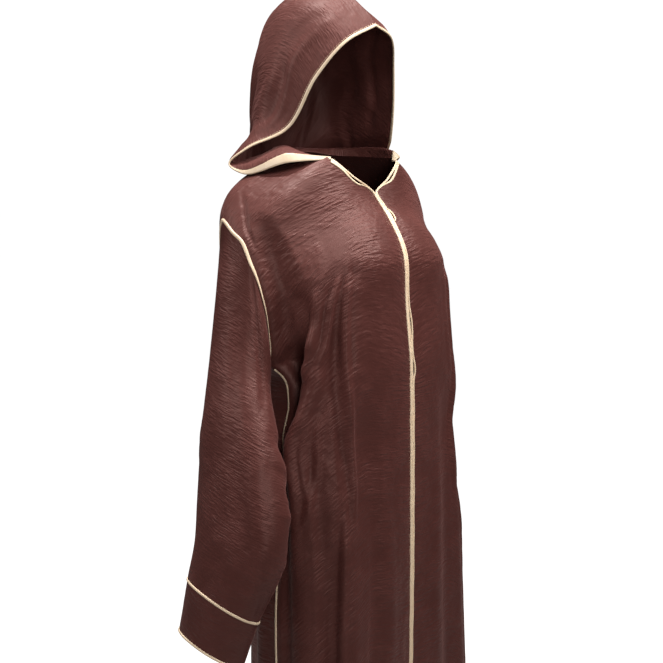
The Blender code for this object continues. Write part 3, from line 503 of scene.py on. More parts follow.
SKIRT_LEVELS = np.linspace(UNDERARM_DOWN + SIDE_TRIM_DOWN, HEM_DOWN, SKIRT_ROWS)
FRONT_LEVELS = np.concatenate([
    levels_between([(0, NECK_ROWS), (0.080, THROAT_ROWS), (0.155, CHEST_ROWS), (UNDERARM_DOWN, 0)]),
    SKIRT_LEVELS,
])
BACK_LEVELS = np.concatenate([
    levels_between([(0, NECK_ROWS), (0.085, ARM_ROWS - NECK_ROWS), (UNDERARM_DOWN, 0)]),
    SKIRT_LEVELS,
])
FRONT_ACROSS = np.linspace(0, 1, FRONT_COLUMNS)
BACK_ACROSS = np.linspace(0, 1, BACK_COLUMNS)
print("rows of a front:", len(FRONT_LEVELS), "and of the back:", len(BACK_LEVELS))


# %% Surface of a panel
def side_points(sections, levels):
    """The outer edge of a panel: the armhole down to the underarm, then the side seam."""
    on_arm = [(row[1], row[5]) for row in sections if row[5] is not None]
    angles = curve_through([d for d, _ in on_arm], [[a] for _, a in on_arm], levels)[:, 0]
    seam = np.array(SIDE_SEAM)
    points = curve_through(seam[:, 0], seam[:, 1:], levels)
    beside_arm = levels <= UNDERARM_DOWN
    points[beside_arm] = armhole_at(angles[beside_arm])
    return points, angles


def panel_surface(sections, levels, across):
    """Points of a panel, one row for each level and one column for each share in across."""
    keys = [row[1] for row in sections]
    edge, chest, flank = (curve_through(keys, [row[i] for row in sections], levels) for i in (2, 3, 4))
    side, _ = side_points(sections, levels)
    s = np.asarray(across)[None, :, None]
    return (
        (1 - s) ** 3 * edge[:, None]
        + 3 * (1 - s) ** 2 * s * chest[:, None]
        + 3 * (1 - s) * s**2 * flank[:, None]
        + s**3 * side[:, None]
    )


print("the hem's side point:", panel_surface(FRONT_SECTIONS, np.array([HEM_DOWN]), [1])[0, 0])

# %% Surface of a sleeve
SLEEVE_SQUARENESS = 2 / 2.2


def armhole_angles():
    """Angles of the points that the panels have on the armhole, once round from its top."""
    _, front = side_points(FRONT_SECTIONS, FRONT_LEVELS[:ARM_ROWS + 1])
    _, back = side_points(BACK_SECTIONS, BACK_LEVELS[:ARM_ROWS + 1])
    return np.concatenate([front, back[-2:0:-1]])


ARM_TURNS = armhole_angles()


def sleeve_surface(along, side):
    """Rings of one sleeve at shares from the armhole at 0 to the hem at 1, drawn for x > 0."""
    turn = np.radians(ARM_TURNS)
    keys = [0.0] + [row[1] for row in SLEEVE_SECTIONS]
    upright, sideways = (squarish(wave, SLEEVE_SQUARENESS) for wave in (np.cos(turn), np.sin(turn)))
    rings = [armhole_at(ARM_TURNS)]
    for _, _, outer, inner, across, swing, left in SLEEVE_SECTIONS:
        outer, inner = np.array(outer), np.array(inner)
        tipped = math.radians(swing)
        forwards = np.array([0, -math.cos(tipped), -math.sin(tipped)])
        ring = (outer + inner) / 2 + upright[:, None] * (outer - inner) / 2
        ring = ring + across * sideways[:, None] * forwards
        ring[:, 1] += left if side == LEFT else 0
        rings.append(ring)
    flat = np.array(rings).reshape(len(rings), -1)
    return curve_through(keys, flat, along).reshape(len(along), -1, 3)


print("points round the armhole:", len(ARM_TURNS))

# %% [markdown]
# ## Crinkle that the mesh can carry
#
# The satin has been heat set into fine crinkles that run across the grain. The widest of them,
# two centimetres and more from crest to crest, are in the mesh, so that they show on the outline.

# %% Crinkle in the mesh
CRINKLE_DEPTH = 0.00032
# How far slow hills push the ripples off level, and how tall and wide those hills are.
SLANT = (0.10, 0.09, 0.11)
RIPPLES = [
    # share of the depth, tall, wide
    (1.0, 0.011, 0.055),
    (0.6, 0.019, 0.030),
]
# The middle share of the depth, how far patches swing from it, and how tall and wide a patch is.
PATCH = (0.55, 0.45, 0.12, 0.10)


def crinkle(seed, down, across):
    """Low uneven ripples that run across the cloth, in metres."""
    far, *size = SLANT
    slant = down + far * soft_noise(seed, down, across, *size)
    ripples = 0
    for number, (share, *size) in enumerate(RIPPLES, 1):
        ripples = ripples + share * soft_noise(seed + number, slant, across, *size)
    middle, swing, *size = PATCH
    patches = middle + swing * soft_noise(seed + 3, down, across, *size)
    return CRINKLE_DEPTH * ripples * patches


print("crinkle in the mesh:", CRINKLE_DEPTH * 1000, "mm deep")

# %% [markdown]
# ## One panel with its folds, creases and crinkle
#
# The long folds are pushed out first, then the normals are worked out again, and the fine creases
# follow those. A crease that ignored the fold under it would slide off the fold's side. Everything
# fades out beside a seam, because the stitching holds the cloth flat there.

# %% Front and back panels
# Rows on which the two fronts meet in the middle.
CLOSED_ROWS = slice(NECK_ROWS + THROAT_ROWS, None)
# Shares across the panel, then metres from its edge, side and top, over which the relief fades out.
FOLDS_END = (0.93, 1.0)
EDGE_FADE = 0.012
SIDE_FADE = 0.014
TOP_FADE = 0.015


def creased_panel(side, seed, sections, levels, shares, folds, creases):
    """A front or half the back, for x > 0: its points, its normals and its places in metres."""
    points = panel_surface(sections, levels, shares)
    facing = facing_out(points, grid_facing(points))
    depth = fold_depths(folds, levels, shares) * (1 - ease(shares, *FOLDS_END))[None, :]
    points = points + facing * depth[..., None]
    if sections is FRONT_SECTIONS:
        points[CLOSED_ROWS, 0, 0] = CLOSED_FRONT_X
    facing = facing_out(points, grid_facing(points))
    across = run_lengths(points, 1)
    width = across[:, -1:]
    down = levels[:, None] + np.zeros_like(across)
    fine = np.zeros_like(across)
    for _, start, end, half_width, deep, where in creases:
        if where in ("both", "right" if side == RIGHT else "left"):
            place = [(d, s * float(np.interp(d, levels, width[:, 0]))) for d, s in (start, end)]
            fine += crease_depth(down, across, *place, half_width, deep)
    edge_fade = ease(across, 0.0, EDGE_FADE) * ease(width - across, 0.0, SIDE_FADE)
    fine += crinkle(seed + side, down, across)
    points = points + facing * (fine * edge_fade * ease(levels, 0.0, TOP_FADE)[:, None])[..., None]
    facing = facing_out(points, grid_facing(points))
    if sections is FRONT_SECTIONS:
        facing[CLOSED_ROWS, 0, 0] = 0
        facing = unit(facing)
    return [points, facing, (across, down)]


print("closed rows of a front:", len(FRONT_LEVELS[CLOSED_ROWS]))

# %% Sleeve and cuff
# Places along the sleeve as shares, except the fade beside its lengthwise seam, in metres.
SLEEVE_START = 0.010
SEAM_FADE = 0.02
CAP_FADE = 0.05
CUFF_FADES = (0.845, 0.90)
HEM_FADE = 0.96
SLEEVE_SEED = 51


def sleeve_panel(side):
    """All the rings of a sleeve and its cuff, with their normals and their places in metres."""
    along = np.concatenate([
        [0],
        np.linspace(SLEEVE_START, CUFF_START, SLEEVE_RINGS),
        np.linspace(CUFF_START, 1, CUFF_RINGS + 1)[1:],
    ])
    rings = sleeve_surface(along, side)
    facing = grid_facing(rings, wrap=True)
    if np.sum(facing * (rings - rings.mean(axis=1, keepdims=True))) < 0:
        facing = -facing
    closed = np.concatenate([rings, rings[:, :1]], axis=1)
    girth = run_lengths(closed, 1)[:, -1:]
    across = run_lengths(rings, 1)
    across[:, ARM_ROWS + 1:] -= girth
    top, hem = rings[0, 0], rings[-1].mean(axis=0)
    down = (rings - top) @ unit(hem - top)

    def spot(share, degrees):
        return int(np.argmin(np.abs(along - share))), int(np.argmin(np.abs(ARM_TURNS - degrees)))

    fine = creases_at(SLEEVE_CREASES, down, across, spot)
    seam_fade = ease(girth / 2 - np.abs(across), 0.0, SEAM_FADE)
    near, far = CUFF_FADES
    cuff_fade = 1 - ease(along, near, CUFF_START) * (1 - ease(along, CUFF_START, far))
    end_fade = ease(along, 0.0, CAP_FADE) * cuff_fade * (1 - ease(along, HEM_FADE, 1.0))
    fine = (fine + crinkle(SLEEVE_SEED + side, down, across)) * seam_fade * end_fade[:, None]
    rings = rings + facing * fine[..., None]
    creased = grid_facing(rings, wrap=True)
    creased = creased * np.sign(np.sum(creased * facing))
    return [rings, creased, (across, down)]


print("rings of a sleeve with its cuff:", sleeve_panel(RIGHT)[0].shape[0])

# %% [markdown]
# ## Where the panels meet
#
# Cloth on both sides of a seam has to face the same way, or the piping between would sit crooked.
# The front and back share the mean of their normals down the side seam and along the shoulder. Round
# the armhole the shared normal halves the angle between the body and the sleeve.

# %% Shared normals, then all the panels of one side
FRONT_SEED = 11
BACK_SEED = 31


def seam_facing(edge, one_way, other_way, middle):
    """Normals that the cloths on both sides of a closed seam share, half way between the two."""
    along = unit(np.roll(edge, -1, axis=0) - np.roll(edge, 1, axis=0))
    ways = [
        unit(way - along * np.sum(way * along, axis=1, keepdims=True)) for way in (one_way, other_way)
    ]
    facing = unit(np.cross(along, ways[0] - ways[1]))
    return -facing if np.sum(facing * (edge - middle)) < 0 else facing


def share_normals(front, back, sleeve):
    """Gives the panels of one side the same normals wherever two of them meet."""
    shared = unit(front[1][ARM_ROWS:, -1] + back[1][ARM_ROWS:, -1])
    front[1][ARM_ROWS:, -1] = back[1][ARM_ROWS:, -1] = shared
    shoulder = [(front[1][0], FRONT_ACROSS), (back[1][0], BACK_ACROSS)]
    front[1][0], back[1][0] = [
        unit(own + values_at(shares, far_shares, far))
        for (own, shares), (far, far_shares) in (shoulder, shoulder[::-1])
    ]
    to_body = []
    for points in (front[0], back[0]):
        way = unit(points[:ARM_ROWS + 1, -2] - points[:ARM_ROWS + 1, -1])
        way[-1] = unit(points[ARM_ROWS + 1, -1] - points[ARM_ROWS, -1])
        to_body.append(way)
    to_body = np.concatenate([to_body[0], to_body[1][-2:0:-1]])
    loop = sleeve[0][0]
    shared = seam_facing(loop, sleeve[0][1] - loop, to_body, loop.mean(axis=0))
    front[1][:ARM_ROWS + 1, -1] = shared[:ARM_ROWS + 1]
    back[1][:ARM_ROWS + 1, -1] = np.roll(shared[::-1], 1, axis=0)[:ARM_ROWS + 1]
    sleeve[1][0] = shared


def body_panels(side):
    """The front, the half back and the sleeve of one side, each as points, normals and places."""
    pieces = [
        creased_panel(
            side, FRONT_SEED, FRONT_SECTIONS, FRONT_LEVELS, FRONT_ACROSS, FRONT_FOLDS, FRONT_CREASES
        ),
        creased_panel(
            side, BACK_SEED, BACK_SECTIONS, BACK_LEVELS, BACK_ACROSS, BACK_FOLDS, BACK_CREASES
        ),
        sleeve_panel(side),
    ]
    share_normals(*pieces)
    mirror = np.array([side, 1, 1])
    return [(points * mirror, facing * mirror, places) for points, facing, places in pieces]


panels = {"right": body_panels(RIGHT), "left": body_panels(LEFT)}
print("rows and columns of a front:", panels["right"][0][0].shape[:2])

# %% [markdown]
# ## Shells
#
# Cloth has two faces and an edge. A shell is the grid moved half its thickness out and half in, with
# a rim round its free edges, so light can't leak through and the mesh is closed. Each shell
# keeps a UV map in real metres, because the crinkle, the weave and the thread are all sized in it.


# %% Grids of faces and smooth meshes
SHARP = math.radians(60)


def grid_faces(rows, columns, wrap=False):
    """Four-cornered faces of a grid of points numbered row by row."""
    last = columns if wrap else columns - 1
    r, c = np.meshgrid(np.arange(rows - 1), np.arange(last), indexing="ij")
    r, c = r.ravel() * columns, c.ravel()
    d = (c + 1) % columns
    return np.stack([r + c, r + d, r + columns + d, r + columns + c], axis=1)


def make_mesh(name, corners, faces, places, material):
    """A smooth mesh. places gives each vertex, or each corner of each face, its place in metres."""
    mesh = bpy.data.meshes.new(name)
    mesh.from_pydata(corners.tolist(), [], faces)
    layer = mesh.uv_layers.new(name="metres")
    if len(places) != len(mesh.loops):
        order = np.empty(len(mesh.loops), dtype=np.int32)
        mesh.loops.foreach_get("vertex_index", order)
        places = places[order]
    layer.data.foreach_set("uv", places.astype(np.float32).ravel())
    mesh.shade_smooth()
    mesh.set_sharp_from_angle(angle=SHARP)
    mesh.materials.append(material)
    obj = bpy.data.objects.new(name, mesh)
    bpy.context.scene.collection.objects.link(obj)
    return obj


def signed_volume(corners, faces):
    """More than zero when the four-cornered faces of a closed shell point outwards."""
    a, b, c, d = (corners[np.asarray(faces)[:, i]] for i in range(4))
    return float(np.sum(a * (np.cross(b, c) + np.cross(c, d))))


print("faces of a grid of 3 by 3 points:", grid_faces(3, 3).tolist())

# %% A closed shell
SEAM_GAP = 0.002


def shell(name, points, facing, faces, places, material, seam=None):
    """Cloth as a closed shell. seam is the column after which a tube's places start again."""
    columns = points.shape[1] if points.ndim == 3 else 0
    points, facing = points.reshape(-1, 3), facing.reshape(-1, 3)
    places = np.stack([p.ravel() for p in places], axis=1)
    count = len(points)
    corners = np.vstack([points + facing * CLOTH / 2, points - facing * CLOTH / 2])
    edges = np.concatenate([faces[:, [i, (i + 1) % 4]] for i in range(4)])
    known = set(map(tuple, edges.tolist()))
    rim = np.array(sorted((b, a, a + count, b + count) for a, b in known if (b, a) not in known))
    closed = np.concatenate([faces, faces[:, ::-1] + count, rim])
    if signed_volume(corners, closed) < 0:
        closed = closed[:, ::-1]
    at = np.vstack([places, places])[closed]
    if seam is not None:
        column = (closed % count) % columns
        crossing = (column == seam).any(axis=1) & (column == seam + 1).any(axis=1)
        near, far = at[..., 0].max(axis=1), at[..., 0].min(axis=1)
        after = crossing[:, None] & (column == seam + 1)
        at[..., 0] = np.where(after, at[..., 0] + (near - far)[:, None] + SEAM_GAP, at[..., 0])
    return make_mesh(name, corners, closed.tolist(), at.reshape(-1, 2), material)


print("shell of cloth:", CLOTH * 1000, "mm thick")


# %% Room for piping at an edge
def square_way(edge, towards, wrap=False):
    """The way into the cloth from each point of its edge, square to it. towards is a row further in."""
    if wrap:
        along = unit(np.roll(edge, -1, axis=0) - np.roll(edge, 1, axis=0))
    else:
        along = unit(np.gradient(edge, axis=0))
    way = towards - edge
    way = unit(way - along * np.sum(way * along, axis=1, keepdims=True))
    for _ in range(6 if wrap else 2):
        if wrap:
            way = unit(way + np.roll(way, 1, axis=0) + np.roll(way, -1, axis=0))
        else:
            way[1:-1] = unit(way[:-2] + way[1:-1] + way[2:])
    return way


def tuck(points, facing, places, distances, reach=10):
    """Starts each row a distance in from its edge and spreads its first columns over the rest."""
    first = slice(reach + 1)
    for row, distance in enumerate(distances):
        if distance <= 0:
            continue
        along = line_runs(points[row, first])
        new = distance + (along[-1] - distance) * np.linspace(0, 1, reach + 1)
        for grid in (points, facing):
            grid[row, first] = values_at(new, along, grid[row, first])
        for grid in places:
            grid[row, first] = np.interp(new, along, grid[row, first])
    facing[:] = unit(facing)


LINE_COLUMNS = slice(24)


def line_at(points, facing, distance):
    """The line on the cloth that lies a distance in from its first column, with its normals."""
    points, facing = points[:, LINE_COLUMNS], facing[:, LINE_COLUMNS]
    rows = list(zip(run_lengths(points, 1), points, facing))
    line = np.array([values_at(distance, runs, spots) for runs, spots, _ in rows])
    return line, unit(np.array([values_at(distance, runs, ways) for runs, _, ways in rows]))


print("columns beside an edge that a line may lie in:", LINE_COLUMNS.stop)

# %% Cord and rolled piping
CORD_GIRTH = 0.012
CORD_SIDES = 12


def cord_on(name, centre, facing, sideways, width, height, material, wrap=False, power=0.8):
    """A soft cord or rolled piping along a line: width across the cloth, height out of it."""
    turn = np.linspace(0, 2 * math.pi, CORD_SIDES, endpoint=False)
    out, across = squarish(np.sin(turn), power), squarish(np.cos(turn), power)
    rows = len(centre)
    width = np.broadcast_to(np.asarray(width, float), rows)[:, None]
    height = np.broadcast_to(np.asarray(height, float), rows)[:, None]
    corners = (
        centre[:, None]
        + (sideways * width / 2)[:, None] * across[None, :, None]
        + (facing * height / 2)[:, None] * out[None, :, None]
    ).reshape(-1, 3)
    girth = np.linspace(0, CORD_GIRTH, CORD_SIDES, endpoint=False)
    places = np.stack(np.meshgrid(line_runs(centre), girth, indexing="ij"), axis=2).reshape(-1, 2)
    faces = grid_faces(rows, CORD_SIDES, wrap=True)
    first = np.arange(CORD_SIDES)
    last = first + (rows - 1) * CORD_SIDES
    if wrap:
        closing = np.stack([last, np.roll(last, -1), np.roll(first, -1), first], axis=1)
        faces = np.concatenate([faces, closing])
    turned = signed_volume(corners, faces) < 0
    closed = (faces[:, ::-1] if turned else faces).tolist()
    if not wrap:
        ends = [first[::-1].tolist(), last.tolist()]
        closed += [end[::-1] for end in ends] if turned else ends
    return make_mesh(name, corners, closed, places, material)


print("sides of a cord:", CORD_SIDES)

# %% Hand stitches
STITCH = 0.0026
STITCH_PITCH = 0.0042
THREAD = 0.0004
THREAD_LIFT = 0.4
THREAD_SIDES = 6
THREAD_NARROW = 0.8
STITCH_SPANS = (-0.5, -0.3, 0.0, 0.3, 0.5)
STITCH_SWELLS = (0.35, 0.9, 1.0, 0.9, 0.35)


def make_stitches(name, line, facing, material):
    """A row of small stitches that lie along a line on the cloth."""
    runs = line_runs(line)
    corners, faces = [], []
    for middle in np.arange(STITCH_PITCH, runs[-1] - STITCH_PITCH, STITCH_PITCH):
        at = middle + STITCH * np.array(STITCH_SPANS)
        normal = unit(values_at(at, runs, facing))
        centre = values_at(at, runs, line) + normal * (CLOTH / 2 + THREAD * THREAD_LIFT)
        way = unit(np.gradient(centre, axis=0))
        aside = unit(np.cross(way, normal))
        start = len(corners)
        for spot, up, side, swell in zip(centre, normal, aside, STITCH_SWELLS):
            for turn in range(THREAD_SIDES):
                angle = turn * 2 * math.pi / THREAD_SIDES
                radius = THREAD * swell * (THREAD_NARROW if turn in (0, 3) else 1.0)
                corners.append(spot + radius * (math.cos(angle) * side + math.sin(angle) * up))
        last = start + (len(STITCH_SPANS) - 1) * THREAD_SIDES
        for row in range(start, last, THREAD_SIDES):
            for turn in range(THREAD_SIDES):
                a, b = row + turn, row + (turn + 1) % THREAD_SIDES
                faces.append((a, b, b + THREAD_SIDES, a + THREAD_SIDES))
        faces.append(tuple(range(start, start + THREAD_SIDES))[::-1])
        faces.append(tuple(range(last, last + THREAD_SIDES)))
    corners = np.array(corners)
    return make_mesh(name, corners, faces, corners[:, 1:], material)


print("stitches to a metre:", round(1 / STITCH_PITCH))

# %% [markdown]
# ## Finishes
#
# The robe is crinkled satin: a soft, warm brown that turns rosy where the light falls on it, with
# fine ripples across the grain. One node group makes the ripples from noise that is stretched
# sideways and bent by a slower noise, and their crests are painted a lighter brown as a painted
# highlight. The piping is plain cream satin with a fine twill line, and the hood's facing is the same
# cream darkened as painted shade.


# %% Helpers for node trees
def new_group(name, inputs, outputs):
    """An empty node group with named sockets, its inputs and its outputs."""
    group = bpy.data.node_groups.new(name, "ShaderNodeTree")
    for label, kind, value in inputs:
        socket = group.interface.new_socket(label, in_out="INPUT", socket_type=kind)
        if value is not None:
            socket.default_value = value
    for label, kind in outputs:
        group.interface.new_socket(label, in_out="OUTPUT", socket_type=kind)
    return group, group.nodes.new("NodeGroupInput"), group.nodes.new("NodeGroupOutput")


def set_inputs(node, values):
    """Puts numbers and colours straight onto the sockets of a node."""
    for label, value in values.items():
        node.inputs[label].default_value = value


def math_node(tree, operation, first, second=None, clamp=False):
    """One Math node whose inputs are sockets or numbers."""
    node = tree.nodes.new("ShaderNodeMath")
    node.operation = operation
    node.use_clamp = clamp
    for socket, value in zip(node.inputs, (first, second)):
        if value is None:
            continue
        if isinstance(value, (int, float)):
            socket.default_value = value
        else:
            tree.links.new(value, socket)
    return node.outputs[0]


def noise_node(tree, vector, scale, detail, roughness=0.5, distortion=0.0):
    """One Noise texture on a vector socket."""
    node = tree.nodes.new("ShaderNodeTexNoise")
    set_inputs(node, {"Scale": scale, "Detail": detail})
    set_inputs(node, {"Roughness": roughness, "Distortion": distortion})
    tree.links.new(vector, node.inputs["Vector"])
    return node


def soft_step(tree, value, low, high, to_low=0.0, to_high=1.0):
    """A smooth change from one value to another between two places."""
    node = tree.nodes.new("ShaderNodeMapRange")
    node.interpolation_type = "SMOOTHSTEP"
    set_inputs(node, {"From Min": low, "From Max": high, "To Min": to_low, "To Max": to_high})
    tree.links.new(value, node.inputs["Value"])
    return node.outputs[0]


print("node trees so far:", len(bpy.data.node_groups))

# %% Grains that lie across the cloth
GRAIN_ROUGHNESS = 0.55
GRAIN_DISTORTION = 0.25


def stretched_noise(tree, across, down, scale, ratio, detail):
    """Noise whose grains lie across the cloth: scale of them a metre, each 1 / ratio as long."""
    join = tree.nodes.new("ShaderNodeCombineXYZ")
    tree.links.new(math_node(tree, "MULTIPLY", across, ratio), join.inputs["X"])
    tree.links.new(down, join.inputs["Y"])
    scaled = tree.nodes.new("ShaderNodeVectorMath")
    scaled.operation = "SCALE"
    tree.links.new(join.outputs[0], scaled.inputs[0])
    if isinstance(scale, float):
        scaled.inputs["Scale"].default_value = scale
    else:
        tree.links.new(scale, scaled.inputs["Scale"])
    grains = noise_node(tree, scaled.outputs[0], 1.0, detail, GRAIN_ROUGHNESS, GRAIN_DISTORTION)
    return grains.outputs["Fac"]


CREST_SHARPNESS = 1.6


def ridged(tree, noise):
    """Turns noise into narrow crests."""
    off = math_node(tree, "ABSOLUTE", math_node(tree, "SUBTRACT", noise, 0.5))
    return math_node(tree, "SUBTRACT", 0.5, math_node(tree, "MULTIPLY", off, CREST_SHARPNESS))


print("grains of the crinkle: roughness", GRAIN_ROUGHNESS, "and distortion", GRAIN_DISTORTION)

# %% [markdown]
# ## How the crinkle runs
#
# Down the front the ripples lie level near the middle and are dragged down towards the side seam.
# Short puckers stand beside the sewn edge, where the cord gathers the cloth. Both are set in metres
# from the middle of the piece, and the material of each piece says how strong they are.

# %% Ripple group
PULL_STARTS = 0.100
PULL_GROWS = 0.035
PULL_LEVELS = (0.10, 0.46)
PUCKER_BAND = (0.004, 0.058)
PUCKERS_A_METRE = 135.0
PUCKER_RATIO = 0.20
PUCKER_PLACES = (22.0, 0.35, 0.60)
BENDS = [
    # hills a metre, how far they bend the ripples in metres
    (9.0, 0.014),
    (50.0, 0.0032),
]
BROAD_CRESTS = 0.45
BROAD_DEPTH = 0.6
PATCHES_A_METRE = 16.0
PATCH_STEP = (0.36, 0.64, 0.30, 1.0)


def ripple_group():
    """Fine uneven crinkle that runs across the cloth. Places are in metres, X across and Y down."""
    group, given, result = new_group(
        "crinkle",
        [
            ("Places", "NodeSocketVector", None),
            ("Crests a metre", "NodeSocketFloat", 420.0),
            ("Length ratio", "NodeSocketFloat", 0.1),
            ("Lean", "NodeSocketFloat", 0.0),
            ("Side pull", "NodeSocketFloat", 0.0),
            ("Edge puckers", "NodeSocketFloat", 0.0),
        ],
        [("Height", "NodeSocketFloat"), ("Patches", "NodeSocketFloat")],
    )

    def calc(operation, first, second=None):
        return math_node(group, operation, first, second)

    places, pull, puckering = (given.outputs[n] for n in ("Places", "Side pull", "Edge puckers"))
    crests, ratio, lean = (given.outputs[n] for n in ("Crests a metre", "Length ratio", "Lean"))
    split = group.nodes.new("ShaderNodeSeparateXYZ")
    group.links.new(places, split.inputs[0])
    across, down = split.outputs["X"], split.outputs["Y"]
    inwards = calc("ABSOLUTE", across)
    past = calc("MAXIMUM", calc("SUBTRACT", inwards, PULL_STARTS), 0.0)
    past = calc("MULTIPLY", past, calc("DIVIDE", past, calc("ADD", past, PULL_GROWS)))
    past = calc("MULTIPLY", past, soft_step(group, down, *PULL_LEVELS))
    down = calc("ADD", down, calc("MULTIPLY", across, lean))
    down = calc("SUBTRACT", down, calc("MULTIPLY", past, pull))
    for scale, reach in BENDS:
        slow = noise_node(group, places, scale, 1.0).outputs["Fac"]
        down = calc("ADD", down, calc("MULTIPLY", calc("SUBTRACT", slow, 0.5), reach))
    fine = stretched_noise(group, across, down, crests, ratio, 1.5)
    broad = calc("MULTIPLY", crests, BROAD_CRESTS)
    broad = ridged(group, stretched_noise(group, across, down, broad, ratio, 1.0))
    patch = noise_node(group, places, PATCHES_A_METRE, 3.0, 0.6).outputs["Fac"]
    strong = soft_step(group, patch, *PATCH_STEP)
    height = calc("MULTIPLY", calc("ADD", fine, calc("MULTIPLY", broad, BROAD_DEPTH)), strong)
    puckers = stretched_noise(group, across, down, PUCKERS_A_METRE, PUCKER_RATIO, 1.0)
    band = soft_step(group, inwards, *PUCKER_BAND, 1.0, 0.0)
    scale, low, high = PUCKER_PLACES
    here = soft_step(group, noise_node(group, places, scale, 1.0).outputs["Fac"], low, high)
    band = calc("MULTIPLY", calc("MULTIPLY", band, here), puckering)
    height = calc("ADD", height, calc("MULTIPLY", ridged(group, puckers), band))
    group.links.new(height, result.inputs["Height"])
    group.links.new(strong, result.inputs["Patches"])
    return group


CRINKLE = ripple_group()
print("node group:", CRINKLE.name)

# %% Thread group
WAVES_A_SCALE = 0.05


def thread_group():
    """Close parallel threads, leaning like a twill."""
    group, given, result = new_group(
        "threads",
        [("Places", "NodeSocketVector", None), ("Threads a metre", "NodeSocketFloat", 1400.0)],
        [("Height", "NodeSocketFloat")],
    )
    wave = group.nodes.new("ShaderNodeTexWave")
    wave.wave_type = "BANDS"
    wave.bands_direction = "DIAGONAL"
    set_inputs(wave, {"Distortion": 1.2, "Detail": 1.0})
    group.links.new(given.outputs["Places"], wave.inputs["Vector"])
    scale = math_node(group, "MULTIPLY", given.outputs["Threads a metre"], WAVES_A_SCALE)
    group.links.new(scale, wave.inputs["Scale"])
    group.links.new(wave.outputs["Fac"], result.inputs["Height"])
    return group


THREADS = thread_group()
print("node group:", THREADS.name)


# %% Helpers for materials
def base_material(name):
    """A material with its Principled shader and a UV node in metres."""
    material = bpy.data.materials.new(name)
    material.use_nodes = True
    tree = material.node_tree
    shader = tree.nodes["Principled BSDF"]
    places = tree.nodes.new("ShaderNodeUVMap")
    places.uv_map = "metres"
    return material, tree, shader, places.outputs[0]


def place_group(tree, group, places, **values):
    """A group node fed with the places, with its own values."""
    node = tree.nodes.new("ShaderNodeGroup")
    node.node_tree = group
    tree.links.new(places, node.inputs["Places"])
    set_inputs(node, {label.replace("_", " "): value for label, value in values.items()})
    return node


def blend_colours(tree, factor, first, second):
    """One Mix node between two colours or sockets."""
    node = tree.nodes.new("ShaderNodeMix")
    node.data_type = "RGBA"
    tree.links.new(factor, node.inputs["Factor"])
    for label, value in (("A", first), ("B", second)):
        socket = [s for s in node.inputs if s.name == label and s.type == "RGBA"][0]
        if isinstance(value, tuple):
            socket.default_value = (*value, 1)
        else:
            tree.links.new(value, socket)
    return [s for s in node.outputs if s.type == "RGBA"][0]


def bump_node(tree, height, distance, strength, normal=None):
    """One Bump node, on top of another normal if one is given."""
    node = tree.nodes.new("ShaderNodeBump")
    set_inputs(node, {"Strength": strength, "Distance": distance})
    tree.links.new(height, node.inputs["Height"])
    if normal is not None:
        tree.links.new(normal, node.inputs["Normal"])
    return node.outputs[0]


print("materials before the satins:", len(bpy.data.materials))

# %% Brown crinkled satin
DEEP_BROWN = (0.064, 0.0186, 0.0155)
PALE_BROWN = (0.080, 0.0250, 0.0210)
# The crest brown is a lighter brown painted on the crests of the crinkle: a painted highlight, not a colour
# of the cloth.
CREST_HIGHLIGHT_BROWN = (0.135, 0.044, 0.038)
CREST_HIGHLIGHT_SHARE = 0.42
PATCH_ROUGHNESS = 0.06
BROWN_THREADS = 1500.0
BROWN_CLOUDS = (7.0, 3.0)
BROWN_RELIEF = (0.00005, 0.5)
SHEEN = 0.12


def make_satin(
    name, lean, depth=0.0022, crests=265.0, ratio=0.18, side_pull=0.0, puckers=0.0, dull=0.43
):
    """Brown satin whose crinkle leans by lean, with crests of the depth given in metres and a painted
    highlight on them.
    """
    material, tree, shader, places = base_material(name)
    ripples = place_group(
        tree, CRINKLE, places, Lean=lean, Crests_a_metre=crests, Length_ratio=ratio,
        Side_pull=side_pull, Edge_puckers=puckers,
    )
    threads = place_group(tree, THREADS, places, Threads_a_metre=BROWN_THREADS)
    cloudy = noise_node(tree, places, *BROWN_CLOUDS)
    deep = blend_colours(tree, cloudy.outputs["Fac"], DEEP_BROWN, PALE_BROWN)
    # The crests of the crinkle are painted lighter here: a painted highlight.
    crest = math_node(tree, "MULTIPLY", ripples.outputs["Height"], CREST_HIGHLIGHT_SHARE, clamp=True)
    tree.links.new(blend_colours(tree, crest, deep, CREST_HIGHLIGHT_BROWN), shader.inputs["Base Color"])
    rough = math_node(tree, "MULTIPLY", ripples.outputs["Patches"], PATCH_ROUGHNESS)
    tree.links.new(math_node(tree, "ADD", rough, dull), shader.inputs["Roughness"])
    normal = bump_node(tree, ripples.outputs["Height"], depth, 1.0)
    normal = bump_node(tree, threads.outputs["Height"], *BROWN_RELIEF, normal)
    tree.links.new(normal, shader.inputs["Normal"])
    set_inputs(shader, {
        "Metallic": 0,
        "Specular IOR Level": 0.36,
        "Specular Tint": (1.0, 0.68, 0.62, 1),
        "Sheen Weight": SHEEN,
        "Sheen Roughness": 0.45,
        "Sheen Tint": (0.80, 0.40, 0.37, 1),
    })
    return material


# The brown on a crest is a painted highlight.
print("brown of the cloth at its deepest and on a crest:", DEEP_BROWN, CREST_HIGHLIGHT_BROWN)

# %% Cream satin, then all the finishes
# Noise is given as its hills a metre and its detail, relief as its depth in metres and its strength.
DEEP_CREAM = (0.82, 0.62, 0.42)
PALE_CREAM = (0.95, 0.79, 0.58)
CREAM_THREADS = 900.0
CREAM_CLOUDS = (60.0, 3.0)
CREAM_RELIEF = (0.0001, 0.5)
CREAM_PUCKERS = (150.0, 2.0)
PUCKER_RELIEF = (0.0006, 0.8)


